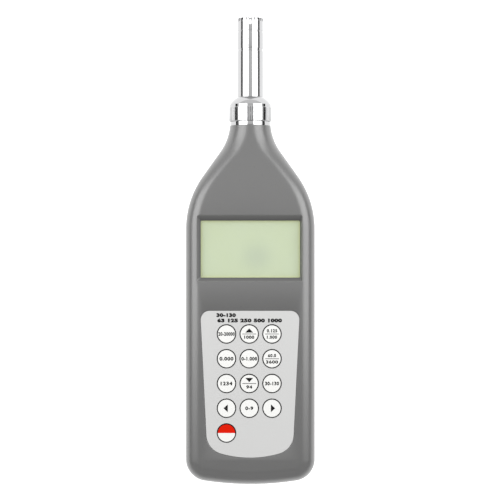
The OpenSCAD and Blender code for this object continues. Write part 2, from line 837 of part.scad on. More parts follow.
module lead_slot(x) {
    block([x - 1.4, bay_top_y - 0.5, z_cell - 0.2],
        [x + 1.4, bay_top_y + bay_wall + over, z_cell + plate_t + 0.2]);
}

module battery_leads() {
    lead_r = 0.6;
    color([0.7, 0.1, 0.1])
    for (x = [cell_xs[0], cell_xs[cell_count - 1]]) {
        y = bay_top_y + bay_wall + 0.9;
        z = z_cell + plate_t;
        tube([[x, y, z], [x, y, z + 1.5], [x, y + 0.5, z + 3], [x, y + 1.6, z + 4.2],
            [x, y + 2.2, z + 5.4], [x, y + 2.2, z_board]], lead_r, 8, [1, 0, 0]);
    }
}

module tripod_insert() {
    top = insert_sink + tripod_depth;
    color([0.78, 0.62, 0.3])
    difference() {
        union() {
            post(0, insert_y, insert_r, insert_sink, top);
            post(0, insert_y, insert_flange_r, insert_sink, insert_sink + insert_flange_t);
        }
        post(0, insert_y, tripod_r, -over, top + over);
    }
}

// ---- Neck fittings ------------------------------------------------------
module neck_bush() {
    color([0.86, 0.86, 0.87])
    turned([[bush_in_r, bush_foot_y], [bush_r, bush_foot_y], [bush_r, clamp_y0], [clamp_r, clamp_y0],
        [clamp_r, clamp_y1], [bush_r, clamp_y1], [bush_r, y_neck], [collar_r, y_neck],
        [collar_r, y_nut - nut_clear], [thread_r, y_nut - nut_clear], [thread_r, thread_top],
        [bush_in_r, thread_top]]);
}

module pins(r, y0, y1) {
    for (a = pin_angles) translate([pin_circle * cos(a), y0, z_axis + pin_circle * sin(a)])
        rotate([-90, 0, 0]) cylinder(r = r, h = y1 - y0, $fn = 24);
}

module mic_socket() {
    color([0.92, 0.92, 0.88])
    difference() {
        barrel(bush_in_r - thread_gap, socket_foot, socket_top);
        pins(pin_r + 0.35, socket_foot - over, socket_top + over);
    }
}

// Thin sleeves in the socket that the plug's pins enter
module socket_contacts() {
    color([0.85, 0.7, 0.35])
    difference() {
        pins(pin_r + 0.3, socket_foot - 1.5, socket_top - 0.3);
        pins(pin_r + 0.08, socket_top - pin_len - over, socket_top + over);
    }
}

module mic_leads() {
    lead_r = 0.45;
    color([0.75, 0.2, 0.2])
    for (a = pin_angles) {
        x = pin_circle * cos(a);
        z = z_axis + pin_circle * sin(a);
        y = socket_foot - 1.5;
        pad_y1 = board_neck_y - (a > 180 ? 1.6 : 4);
        rise = z_board_top + (a > 180 ? 1.4 : 3);
        tube([[x, y, z], [x, y - 1.2, z], [x, y - 3, z + (rise - z) * 0.5], [x, y - 4.6, rise],
            [x, pad_y1 + 1.2, rise], [x, pad_y1 + 0.3, rise - 0.4], [x, pad_y1, rise - 1],
            [x, pad_y1, z_board_top]],
            lead_r, 8, [1, 0, 0]);
    }
}

module lock_nut() {
    tooth = 0.25;
    teeth = [for (i = [0:2 * knurl_teeth - 1]) let (r = nut_r - (i % 2) * tooth, a = 180 * i / knurl_teeth)
        [r * cos(a), r * sin(a)]];
    hole_r = mic_r + gap;
    cavity_r = thread_r + thread_gap;
    crown = [for (a = span(crown_from, crown_to, 6)) [
        nut_body_r - crown_r * (cos(crown_from) - cos(a)), band_top + crown_r * (sin(a) - sin(crown_from))]];
    color([0.88, 0.88, 0.89])
    difference() {
        union() {
            turned(concat([[hole_r - over, y_nut + 0.4], [nut_body_r - 0.3, y_nut + 0.4],
                [nut_body_r, y_nut + 0.7]], crown, [[hole_r - over, cone_top]]));
            translate([0, y_nut, z_axis]) rotate([-90, 0, 0]) linear_extrude(knurl_len) polygon(teeth);
        }
        barrel(cavity_r, y_nut - over, nut_shoulder);
        barrel(hole_r, nut_shoulder - over, cone_top + over);
    }
}

module preamp_tube() {
    thread_in_r = mic_r - 0.75;
    color([0.87, 0.87, 0.88])
    turned([[tube_in_r, flange_y0], [mic_flange_r, flange_y0], [mic_flange_r, flange_y1],
        [mic_r, flange_y1], [mic_r, tube_top], [thread_in_r, tube_top], [thread_in_r, tube_top - 4],
        [tube_in_r, tube_top - 4]]);
}

module mic_plug() {
    color([0.9, 0.9, 0.86])
    difference() {
        barrel(tube_in_r - thread_gap, plug_foot, plug_top);
        pins(pin_r + 0.05, plug_foot - over, plug_top + over);
    }
}

module plug_pins() {
    color([0.85, 0.7, 0.35]) pins(pin_r, socket_top - pin_len + 0.6, plug_top + 0.8);
}

module preamp_board() {
    half = tube_in_r - 1.2;
    color([0.1, 0.38, 0.22])
    block([-half, plug_top + 0.8, z_axis - 0.5], [half, tube_top - 4.5, z_axis + 0.5]);
}

module capsule_housing() {
    body_top = y_tip - grid_len;
    stub_r = mic_r - 0.75 - thread_gap;
    in_r = mic_r - 1.6;
    relief_r = mic_r - 0.2;
    relief_y = body_top - relief_len;
    color([0.88, 0.88, 0.89])
    turned([[in_r, tube_top - 3.6], [stub_r, tube_top - 3.6], [stub_r, tube_top],
        [relief_r, tube_top], [relief_r, y_capsule], [mic_r, y_capsule], [mic_r, relief_y],
        [relief_r, relief_y], [relief_r, body_top], [stub_r, body_top], [stub_r, body_top + 3],
        [in_r, body_top + 3]]);
}

module capsule_insulator() {
    in_r = mic_r - 1.6;
    y1 = y_tip - grid_len - 1.5;
    color([0.93, 0.93, 0.9])
    turned([[1, y1 - 4], [in_r - 0.05, y1 - 4], [in_r - 0.05, y1], [1, y1]]);
}

module backplate() {
    y1 = y_tip - grid_len - 1.5;
    color([0.82, 0.72, 0.4])
    turned([[0, y1 - 6], [0.9, y1 - 6], [0.9, y1], [mic_r - 2.6, y1], [mic_r - 2.6, y1 + 1], [0, y1 + 1]]);
}

module diaphragm() {
    y1 = y_tip - grid_len + 3;
    color([0.85, 0.85, 0.86]) barrel(mic_r - 1, y1, y1 + 0.2);
}

module protection_grid() {
    foot = y_tip - grid_len;
    in_r = mic_r - 0.75;
    out_r = mic_r - 0.05;
    roof = 0.7;
    edge = 0.5;
    color([0.86, 0.86, 0.87])
    difference() {
        turned([[in_r, foot + 0.02], [out_r, foot + 0.02], [out_r, y_tip - edge],
            [out_r - edge, y_tip], [0, y_tip], [0, y_tip - roof], [in_r, y_tip - roof]]);
        for (i = [0:grid_slots - 1]) translate([0, 0, z_axis]) rotate([0, 90 + 360 * i / grid_slots, 0])
            if (i % 5 == 0) block([2.2, foot + 0.35, -0.55], [mic_r + over, y_tip + over, 0.55]);
            else block([4.4, y_tip - 1.8, -0.35], [mic_r + over, y_tip + over, 0.35]);
    }
}

front_shell();
rear_shell();
battery_door();
case_screws();
display_window();
display_gasket();
lcd_front_glass();
lcd_rear_glass();
backlight_panel();
lcd_holder();
contact_strips();
keypad_overlay();
keypad_spacer();
keypad_board();
snap_domes();
for (i = [0:11]) key(i);
key(12);  // key_power
keypad_tail();
tail_connector();
main_board();
board_screws();
board_chips();
shield_can();
output_jack();
battery_cells();
cell_springs();
contact_plates();
battery_leads();
tripod_insert();
neck_bush();
mic_socket();
socket_contacts();
mic_leads();
lock_nut();
preamp_tube();
mic_plug();
plug_pins();
preamp_board();
capsule_housing();
capsule_insulator();
backplate();
diaphragm();
protection_grid();
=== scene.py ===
# %% [markdown]
# # A sound level meter, dressed from its construction model
# The construction model already has every part at its real size: the two shells, the display stack,
# thirteen keys, the lock nut and the microphone. This lesson keeps that frame and gives it looks.
# Where a construction part is only approximate to the eye, such as a shell made of flat facets, a
# smooth surface worked out with numpy takes its place.

import json
import math

import bmesh
import bpy
import numpy as np
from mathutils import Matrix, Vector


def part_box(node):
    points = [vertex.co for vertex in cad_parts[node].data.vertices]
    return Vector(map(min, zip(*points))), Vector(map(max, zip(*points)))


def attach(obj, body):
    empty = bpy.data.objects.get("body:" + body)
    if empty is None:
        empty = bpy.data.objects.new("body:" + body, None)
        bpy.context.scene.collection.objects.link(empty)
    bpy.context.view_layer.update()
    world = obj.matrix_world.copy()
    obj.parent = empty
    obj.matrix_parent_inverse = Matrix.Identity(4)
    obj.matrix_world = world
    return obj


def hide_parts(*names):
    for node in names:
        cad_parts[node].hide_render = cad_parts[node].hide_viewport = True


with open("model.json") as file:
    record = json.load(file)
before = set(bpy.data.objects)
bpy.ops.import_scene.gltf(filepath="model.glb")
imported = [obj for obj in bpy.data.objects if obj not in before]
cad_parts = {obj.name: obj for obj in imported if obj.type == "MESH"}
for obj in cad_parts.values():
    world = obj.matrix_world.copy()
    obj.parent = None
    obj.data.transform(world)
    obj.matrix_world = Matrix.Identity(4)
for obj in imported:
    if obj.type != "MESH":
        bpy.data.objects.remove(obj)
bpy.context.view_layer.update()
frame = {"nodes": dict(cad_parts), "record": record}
nodes = frame["nodes"]
MM = 0.001

# %% [markdown]
# ## The meter's own measures
# These are the sizes that shape the case: a neck, a hollow waist curve, a straight slope, a full
# shoulder curve, parallel sides, round corners and a gently bowed foot. They are the same
# numbers as the construction model's, in millimetres, so the smooth shells meet the other parts.

# %% Case measures in millimetres
CASE_LEN, CASE_W, CASE_T, WALL = 180.4, 64.9, 26.0, 2.2
EDGE_R, CORNER_R, FOOT_R = 7.0, 11.0, 150.0
NECK_D, FLARE, SLOPE, WAIST_R, SHOULDER_R = 20.7, 6.0, 35.0, 28.0, 46.0
MIC_LEN, MIC_D = 54.6, 13.2
Y_TIP = (CASE_LEN + MIC_LEN) / 2
Y_FOOT = -Y_TIP
Y_NECK = Y_FOOT + CASE_LEN
Z_FACE, Z_PART = CASE_T, CASE_T / 2
print(f"foot at {Y_FOOT:.1f}, neck at {Y_NECK:.1f}, tip at {Y_TIP:.1f} mm")


# %% Tools for making meshes
def solid(name, points, faces, sharp=32.0):
    """Makes a mesh object from points in millimetres, with its normals pointing out.

    Edges that turn by more than `sharp` degrees stay crisp, and the rest are shaded smooth."""
    mesh = bpy.data.meshes.new(name)
    corners = [list(map(int, face)) for face in faces]
    mesh.from_pydata((np.asarray(points, float) * MM).tolist(), [], corners)
    thing = bpy.data.objects.new(name, mesh)
    bpy.context.scene.collection.objects.link(thing)
    tidy_mesh(thing, sharp)
    return thing


def tidy_mesh(thing, sharp=32.0):
    """Merges doubled points, turns faces outwards and marks the crisp edges."""
    work = bmesh.new()
    work.from_mesh(thing.data)
    bmesh.ops.remove_doubles(work, verts=work.verts, dist=1e-6)
    bmesh.ops.dissolve_degenerate(work, edges=work.edges, dist=1e-7)
    bmesh.ops.recalc_face_normals(work, faces=work.faces)
    work.to_mesh(thing.data)
    work.free()
    mesh = thing.data
    mesh.polygons.foreach_set("use_smooth", np.ones(len(mesh.polygons), bool))
    mesh.set_sharp_from_angle(angle=math.radians(sharp))
    mesh.update()


def grid_faces(rows, cols, wrap_rows=False, wrap_cols=False):
    """Index quads of a rows x cols grid, joined round either way when asked."""
    r = np.arange(rows if wrap_rows else rows - 1)
    c = np.arange(cols if wrap_cols else cols - 1)
    r, c = (a.ravel() for a in np.meshgrid(r, c, indexing="ij"))
    r1, c1 = (r + 1) % rows, (c + 1) % cols
    return np.stack([r * cols + c, r1 * cols + c, r1 * cols + c1, r * cols + c1], axis=1).tolist()


def carve(piece, tool, way="DIFFERENCE"):
    """Cuts `tool` out of `piece` (or joins it on) with an exact boolean, then drops the tool."""
    step = piece.modifiers.new("carve", "BOOLEAN")
    step.operation, step.solver, step.object, step.use_self = way, "EXACT", tool, False
    depsgraph = bpy.context.evaluated_depsgraph_get()
    result = bpy.data.meshes.new_from_object(piece.evaluated_get(depsgraph))
    piece.modifiers.clear()
    piece.data = result
    bpy.data.objects.remove(tool)


def loft(name, loops, sharp=32.0):
    """A closed solid through a stack of loops, each an (n, 3) array, with flat end caps."""
    loops = np.asarray(loops, float)
    rows, cols = loops.shape[:2]
    faces = grid_faces(rows, cols, wrap_cols=True)
    faces += [list(range(cols))[::-1], list(range((rows - 1) * cols, rows * cols))]
    return solid(name, loops.reshape(-1, 3), faces, sharp)


def block(name, low, high):
    """A box from its two corners, in millimetres."""
    (x0, y0, z0), (x1, y1, z1) = low, high
    ring = np.array([[x0, y0], [x1, y0], [x1, y1], [x0, y1]], float)
    return loft(name, [np.c_[ring, np.full(4, z)] for z in (z0, z1)])


def post(name, x, y, r, z0, z1, sides=48):
    """An upright cylinder: a circle of radius r carried from z0 to z1."""
    a = np.linspace(0, 2 * np.pi, sides, endpoint=False)
    ring = np.c_[x + r * np.cos(a), y + r * np.sin(a)]
    return loft(name, [np.c_[ring, np.full(sides, z)] for z in (z0, z1)])


def measured(node):
    """The two corners of a construction part's box, in millimetres."""
    return [np.array(corner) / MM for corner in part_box(node)]


# %% [markdown]
# ## The camera, the floor and the light
# The meter is looked at from straight above, so its back lies on a plain white table. Two long
# softboxes hang left and right of the camera. Bright metal mirrors them as two broad white bands.
# Low down to the left and right, below the boxes, the room is dark, and that gap draws the thin
# dark lines that make a polished tube look round. The rest of the sky is a soft fill, brighter
# beyond the microphone than beyond the foot, and dark in one patch almost overhead, on the foot's
# side, which shades the case where it curves down to the foot.

# %% Camera
VIEW_DISTANCE, VIEW_WIDTH, SENSOR = 0.85, 0.2532, 36.0
AIM_X, AIM_Y = -0.00017, 0.0002
camera_data = bpy.data.cameras.new("camera")
camera = bpy.data.objects.new("camera", camera_data)
bpy.context.scene.collection.objects.link(camera)
camera_data.sensor_width = SENSOR
camera_data.lens = SENSOR * VIEW_DISTANCE / VIEW_WIDTH
camera.location = (AIM_X, AIM_Y, Z_PART * MM + VIEW_DISTANCE)
bpy.context.scene.camera = camera
bpy.context.scene.view_settings.view_transform = "Standard"
print(f"camera lens {camera_data.lens:.1f} mm, {camera.location.z:.3f} m up")


# %% Node helpers
def new_material(name):
    """A fresh node material, returned with its node tree and its Principled shader."""
    made = bpy.data.materials.new(name)
    made.use_nodes = True
    return made, made.node_tree, made.node_tree.nodes["Principled BSDF"]


def feed(tree, socket, value):
    """Links an input to `value` when that is another node's output, and otherwise sets it."""
    if isinstance(value, bpy.types.NodeSocket):
        tree.links.new(value, socket)
    else:
        socket.default_value = value


def set_inputs(tree, node, **values):
    """Feeds a node's inputs by name, with _ for a space."""
    for name, value in values.items():
        feed(tree, node.inputs[name.replace("_", " ")], value)


def add_node(tree, kind, **values):
    """Adds a node, sets its properties by name and feeds its inputs by place (in0, in1, ...)."""
    made = tree.nodes.new("ShaderNode" + kind)
    for key, value in values.items():
        if key.startswith("in") and key[2:].isdigit():
            feed(tree, made.inputs[int(key[2:])], value)
        else:
            setattr(made, key, value)
    return made


def ramp(tree, source, stops):
    """A colour ramp driven by `source`; stops are (position, grey value)."""
    made = add_node(tree, "ValToRGB", in0=source)
    while len(made.color_ramp.elements) < len(stops):
        made.color_ramp.elements.new(0.5)
    for element, (position, grey) in zip(made.color_ramp.elements, stops):
        element.position = position
        element.color = (grey, grey, grey, 1)
    return made.outputs[0]


def combine(tree, operation, *values):
    """One Math node: `operation` done on numbers or on other nodes' outputs."""
    made = add_node(tree, "Math", operation=operation)
    for socket, value in zip(made.inputs, values):
        feed(tree, socket, value)
    return made.outputs[0]


def remap(tree, value, low, high, at_low, at_high, **more):
    """Carries low..high over to at_low..at_high in a straight line, and holds both ends."""
    return add_node(tree, "MapRange", in0=value, in1=low, in2=high, in3=at_low, in4=at_high,
                    **more).outputs[0]


def blend(tree, share, first, second):
    """A colour that goes from `first` to `second` as `share` goes from 0 to 1."""
    return add_node(tree, "Mix", data_type="RGBA", in0=share, in6=first, in7=second).outputs[2]


def paint(colour, strength=1.0):
    """A colour times `strength`, held at 1, with the alpha that a node's colour needs."""
    return (*[min(1.0, c * strength) for c in colour], 1)


def noise(tree, where, scale, detail=2.0):
    """Soft noise from 0 to 1, read at `where`."""
    made = add_node(tree, "TexNoise")
    set_inputs(tree, made, Vector=where, Scale=scale, Detail=detail)
    return made.outputs["Fac"]


def place(tree):
    """A point's own place on its piece, whole and as X, Y and Z outputs."""
    where = add_node(tree, "TexCoord").outputs["Object"]
    return where, add_node(tree, "SeparateXYZ", in0=where).outputs


# %% Floor
FLOOR_HALF, FLOOR_LOW, FLOOR_TOP = 3000, -20, -0.05
FLOOR_GLOW = 1.5
floor_material, floor_tree, floor_shader = new_material("table_white")
floor_noise = add_node(floor_tree, "TexNoise")
set_inputs(floor_tree, floor_noise, Scale=3.0)
floor_tint = ramp(floor_tree, floor_noise.outputs["Fac"], [(0.3, 0.100), (0.7, 0.115)])
set_inputs(floor_tree, floor_shader, Base_Color=floor_tint, Roughness=0.9, Specular_IOR_Level=0.0,
           Emission_Color=(1, 1, 1, 1), Emission_Strength=FLOOR_GLOW)
table = block("table", (-FLOOR_HALF, -FLOOR_HALF, FLOOR_LOW), (FLOOR_HALF, FLOOR_HALF, FLOOR_TOP))
table.data.materials.append(floor_material)

# %% Sky: a soft fill from foot to microphone, with a dark gap low on either side
SKY_STOPS = [(0.0, 0.60), (0.30, 0.60), (0.39, 0.0), (0.43, 0.06), (0.465, 0.75), (0.52, 0.95),
             (0.66, 1.1), (1.0, 1.2)]
SKY_STRENGTH, SKY_SEEN = 1.2, (0.93, 0.93, 0.93, 1)
GAP_LEVEL, GAP_Z, GAP_Y = 0.05, (0.21, 0.29), (0.30, 0.62)
world = bpy.data.worlds.new("studio")
bpy.context.scene.world = world
world.use_nodes = True
sky = world.node_tree
sky.nodes.clear()
way = add_node(sky, "SeparateXYZ", in0=add_node(sky, "TexCoord").outputs["Generated"]).outputs
sky_fill = ramp(sky, remap(sky, way["Y"], -1.0, 1.0, 0.0, 1.0), SKY_STOPS)
sky_low = remap(sky, way["Z"], *GAP_Z, 1.0, 0.0)
sky_side = remap(sky, combine(sky, "ABSOLUTE", way["Y"]), *GAP_Y, 1.0, 0.0)
sky_level = add_node(sky, "Mix", data_type="FLOAT", in0=combine(sky, "MULTIPLY", sky_low, sky_side),
                     in2=combine(sky, "MULTIPLY", sky_fill, SKY_STRENGTH), in3=GAP_LEVEL)
sky_light = add_node(sky, "Background", in1=sky_level.outputs[0])
sky_plain = add_node(sky, "Background", in0=SKY_SEEN)
sky_mix = add_node(sky, "MixShader", in0=add_node(sky, "LightPath").outputs["Is Camera Ray"],
                   in1=sky_light.outputs[0], in2=sky_plain.outputs[0])
add_node(sky, "OutputWorld", in0=sky_mix.outputs[0])
print("sky nodes:", len(sky.nodes))


# %% Softboxes
def softbox(name, lean, distance, width, length, middle_y, radiance):
    """A rectangle light that leans `lean` degrees off the vertical and faces the meter.

    Its power follows from the radiance wanted: power = pi x radiance x area."""
    lamp = bpy.data.lights.new(name, "AREA")
    lamp.shape, lamp.size, lamp.size_y = "RECTANGLE", width, length
    lamp.energy = math.pi * radiance * width * length
    thing = bpy.data.objects.new(name, lamp)
    turn = math.radians(lean)
    thing.location = (distance * math.sin(turn), middle_y, distance * math.cos(turn))
    thing.rotation_euler = (0, turn, 0)
    bpy.context.scene.collection.objects.link(thing)


BOX_LEAN, BOX_DISTANCE, BOX_WIDTH, BOX_LENGTH, BOX_Y, RADIANCE = 40.5, 0.62, 0.54, 0.50, 0.14, 3.5
for side_name, side in (("softbox_right", 1), ("softbox_left", -1)):
    softbox(side_name, side * BOX_LEAN, BOX_DISTANCE, BOX_WIDTH, BOX_LENGTH, BOX_Y, RADIANCE)

# %% [markdown]
# ## Finishes
# Each finish of the real meter becomes a small node material. The case is a fine satin moulding,
# so its colour hardly varies and a very fine noise bump breaks up the gloss. The microphone and
# nut are bright plated metal with faint turning marks. Prints are flat inks.


# %% A recipe for moulded plastic
def moulded(name, colour, roughness=0.4, vary=0.04, grain=900.0, bump=0.05, gloss=0.5, scale=60.0,
            fuzz=0.0):
    """Plastic whose colour drifts by `vary` in slow clouds, with a fine grain in its bump."""
    made, tree, shader = new_material(name)
    where = add_node(tree, "TexCoord").outputs["Object"]
    clouds = noise(tree, where, scale, 3.0)
    fine = noise(tree, where, grain)
    rough = add_node(tree, "Bump")
    set_inputs(tree, rough, Strength=bump, Distance=0.0001, Height=fine)
    set_inputs(tree, shader, Normal=rough.outputs[0], Specular_IOR_Level=gloss, Sheen_Weight=fuzz,
               Base_Color=blend(tree, clouds, paint(colour, 1 - vary), paint(colour, 1 + vary)),
               Roughness=remap(tree, fine, 0.0, 1.0, roughness - 0.05, roughness + 0.05))
    return made


# %% A recipe for metal
def metal(name, colour, roughness=0.12, marks=0.03, axis="Y", scale=2500.0):
    """Metal with turning marks: noise stretched thin along one axis, in colour and roughness."""
    made, tree, shader = new_material(name)
    squeeze = add_node(tree, "Mapping")
    set_inputs(tree, squeeze, Vector=add_node(tree, "TexCoord").outputs["Object"],
               Scale=[scale if a == axis else scale * 0.02 for a in "XYZ"])
    lines = noise(tree, squeeze.outputs[0], 1.0)
    set_inputs(tree, shader, Metallic=1.0,
               Base_Color=blend(tree, lines, paint(colour, 0.97), paint(colour, 1.03)),
               Roughness=remap(tree, lines, 0.0, 1.0,
                               max(0.02, roughness - marks), roughness + marks))
    return made


# %% The finishes, by the record's material slots
CASE_GREY = (0.076, 0.076, 0.075)
KEY_WHITE = (0.60, 0.60, 0.586)
CASE_FINISH = (CASE_GREY, 0.30, 0.03, 1400.0, 0.04, 1.0, 60.0, 0.3)
plastics = {  # colour, roughness, vary, grain, bump, gloss, scale, fuzz
    "case_grey": CASE_FINISH,
    "gasket_black": ((0.02, 0.02, 0.02), 0.8, 0.2, 3000.0, 0.3),
    "backlight_amber": ((0.75, 0.78, 0.45), 0.4, 0.02),
    "holder_black": ((0.03, 0.03, 0.032), 0.55, 0.1),
    "strip_rubber": ((0.6, 0.3, 0.34), 0.6, 0.2, 5000.0, 0.2),
    "overlay_grey": ((0.420, 0.420, 0.416), 0.5, 0.012, 1800.0, 0.03, 0.4, 25.0),
    "spacer_black": ((0.03, 0.03, 0.03), 0.6, 0.1),
    "board_green": ((0.015, 0.12, 0.05), 0.35, 0.25, 300.0, 0.1, 0.5, 400.0),
    "key_white": (KEY_WHITE, 0.5, 0.015, 1600.0, 0.03, 0.15),
    "flex_amber": ((0.55, 0.25, 0.04), 0.35, 0.1),
    "connector_ivory": ((0.75, 0.7, 0.58), 0.45, 0.05),
    "chip_black": ((0.015, 0.015, 0.016), 0.5, 0.2),
    "jack_black": ((0.015, 0.015, 0.015), 0.3, 0.1),
    "cell_jacket": ((0.03, 0.09, 0.22), 0.25, 0.1, 500.0, 0.02),
    "lead_red": ((0.35, 0.02, 0.015), 0.5, 0.1),
    "socket_white": ((0.72, 0.71, 0.66), 0.4, 0.03),
    "insulator_clear": ((0.75, 0.75, 0.74), 0.15, 0.02),
}
metals = {  # colour, roughness, marks, axis
    "screw_steel": ((0.62, 0.62, 0.64), 0.3, 0.06),
    "dome_steel": ((0.66, 0.66, 0.65), 0.25, 0.05),
    "can_tin": ((0.68, 0.68, 0.67), 0.3, 0.06, "X"),
    "contact_nickel": ((0.7, 0.69, 0.66), 0.25, 0.06),
    "insert_brass": ((0.72, 0.5, 0.18), 0.28, 0.06, "Z"),
    "barrel_nickel": ((0.44, 0.44, 0.444), 0.07, 0.02),
    "contact_gold": ((0.9, 0.62, 0.22), 0.2, 0.05),
    "backplate_gold": ((0.82, 0.6, 0.26), 0.2, 0.05),
    "foil_nickel": ((0.78, 0.78, 0.79), 0.12, 0.02, "X"),
}
finish = {name: moulded(name, *numbers) for name, numbers in plastics.items()}
finish.update({name: metal(name, *numbers) for name, numbers in metals.items()})
print(len(finish), "plain finishes")


# %% The display glass and the blank liquid crystal behind it
def clear_window():
    """A clear plastic sheet: almost see-through, with only its gloss and a faint haze showing."""
    made, tree, shader = new_material("window_clear")
    haze = noise(tree, add_node(tree, "TexCoord").outputs["Object"], 90.0)
    set_inputs(tree, shader, Alpha=remap(tree, haze, 0.0, 1.0, 0.05, 0.07),
               Base_Color=(0.9, 0.95, 0.9, 1), Roughness=0.12)
    return made


LCD_GREENS = ((0.525, 0.612, 0.352), (0.532, 0.620, 0.405))
LCD_RIM, LCD_REFLECTION_DARK = (0.59, 0.655, 0.27), (0.43, 0.51, 0.345)
LCD_HALF, RIM_WIDTH, RIM_SHARE = (0.0248, 0.01425), 0.0016, 0.8
# The darker spot right of the display's middle and below it is a painted reflection of the camera.
REFLECTION_X, REFLECTION_DROP, REFLECTION_REACH, REFLECTION_SHARE = 0.0030, 0.0040, (0.0005, 0.0115), 0.75
# The display's glow is painted light that lifts the shade at its edges. The black share darkens its
# base colour to make up for the glow.
LCD_BLACK_SHARE, LCD_PAINTED_GLOW = 0.62, 0.36


def liquid_crystal():
    """Blank cells: a slightly clouded pale green that yellows at its edge, with a painted
    reflection as one darker spot and a painted glow.
    """
    made, tree, shader = new_material("lcd_glass")
    low, high = (np.array(c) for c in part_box("lcd_front_glass"))
    middle = [float((a + b) / 2) for a, b in zip(low, high)]
    where, at = place(tree)
    green = blend(tree, noise(tree, where, 45.0), *map(paint, LCD_GREENS))
    edge = 0.0
    for axis, centre, half in zip("XY", middle, LCD_HALF):
        away = combine(tree, "ABSOLUTE", combine(tree, "SUBTRACT", at[axis], centre))
        edge = combine(tree, "MAXIMUM", edge, remap(tree, away, half - RIM_WIDTH, half, 0.0, 1.0))
    rim = blend(tree, combine(tree, "MULTIPLY", edge, RIM_SHARE), green, paint(LCD_RIM))
    # painted reflection: a darker spot where the camera is mirrored in the display
    reflection_offset = add_node(tree, "VectorMath", operation="SUBTRACT", in0=where,
                    in1=(REFLECTION_X, middle[1] - REFLECTION_DROP, float(high[2])))
    size = add_node(tree, "VectorMath", operation="LENGTH", in0=reflection_offset.outputs[0]).outputs["Value"]
    share = remap(tree, size, *REFLECTION_REACH, REFLECTION_SHARE, 0.0, interpolation_type="SMOOTHSTEP")
    seen = blend(tree, share, rim, paint(LCD_REFLECTION_DARK))
    # painted light: part of the display's colour is glow that lifts the shade at its edges
    set_inputs(tree, shader, Base_Color=blend(tree, LCD_BLACK_SHARE, seen, (0, 0, 0, 1)),
               Emission_Color=seen, Emission_Strength=LCD_PAINTED_GLOW, Roughness=0.35)
    return made


finish["window_clear"] = clear_window()
finish["lcd_glass"] = liquid_crystal()


# %% Colours laid over a part of a finish, and painted shade in a pocket
def repaint(made, share, colour):
    """Lays a plain colour over a finish's own, by a share from 0 to 1."""
    tree = made.node_tree
    base = tree.nodes["Principled BSDF"].inputs["Base Color"]
    feed(tree, base, blend(tree, share, base.links[0].from_socket, colour))


def paint_sill_shade(made, centre, half, top, depth=0.0019, share=0.25):
    """Paints shade into a finish with depth in a pocket, fully at `depth` below `top`.

    The pocket reaches `half` to either side of `centre`, and the darkest colour is `share` of the
    case's own."""
    tree = made.node_tree
    at = place(tree)[1]
    inside = remap(tree, at["Z"], top - depth, top, 1.0, 0.0)
    for axis, middle, reach in zip("XY", centre, half):
        near = combine(tree, "COMPARE", at[axis], middle, reach)
        inside = combine(tree, "MULTIPLY", inside, near)
    # painted shade: the case grey darkened where the sill lies deep in the display pocket
    repaint(made, inside, paint(CASE_GREY, share))
    return made


# %% The power key is red above and white below, and every key has an inked edge
POWER_RED, EDGE_BLACK = (0.488, 0.007, 0.0), (0.005, 0.005, 0.005)


def two_tone(name, split_y):
    """Red where the point lies above split_y and white below, with the same satin as the keys."""
    made = moulded(name, KEY_WHITE, 0.5, 0.015, 1600.0, 0.03, 0.05)
    above = combine(made.node_tree, "GREATER_THAN", place(made.node_tree)[1]["Y"], split_y)
    repaint(made, above, paint(POWER_RED))
    return made


def ink_rim(made):
    """Darkens a key where its own "rim" attribute is 1: the edge, the side and the flange."""
    rim = add_node(made.node_tree, "Attribute", attribute_name="rim")
    repaint(made, rim.outputs["Fac"], paint(EDGE_BLACK))


power_low, power_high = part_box("key_power")
finish["key_red"] = two_tone("key_red", float(power_low[1] + power_high[1]) / 2)
ink_rim(finish["key_red"])
ink_rim(finish["key_white"])
ink = moulded("ink_black", (0.004, 0.004, 0.004), 0.6, 0.3, 2000.0, 0.02, 0.1)
ring_ink = moulded("ink_grey", (0.008, 0.008, 0.009), 0.6, 0.2, 2000.0, 0.02, 0.1)
line_ink = moulded("ink_line", (0.08, 0.08, 0.082), 0.5, 0.2, 2000.0, 0.02, 0.3)

# %% Give every construction part the finish of its slot
slot_of = {part["node"]: part["material_slot"] for part in frame["record"]["subparts"]}
for node_name, thing in nodes.items():
    thing.data.materials.clear()
    thing.data.materials.append(finish[slot_of[node_name]])
print(len(slot_of), "construction parts dressed")


def dress(piece, material, body, slot, *replaced):
    """Gives a new piece its finish and its body, and lets it stand for construction parts."""
    piece.data.materials.clear()
    piece.data.materials.append(material)
    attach(piece, body)
    if replaced:
        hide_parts(*replaced)


# %% [markdown]
# ## The case shells
# A moulded case is one closed curve in plan with a rounded wall standing on it. Walk round the
# outline and, at each station, draw the wall's own profile: straight up from the parting line,
# then a quarter turn on to the face. All stations together make a grid of points. The body keeps
# one thickness and one edge radius, and both ease into a round neck.


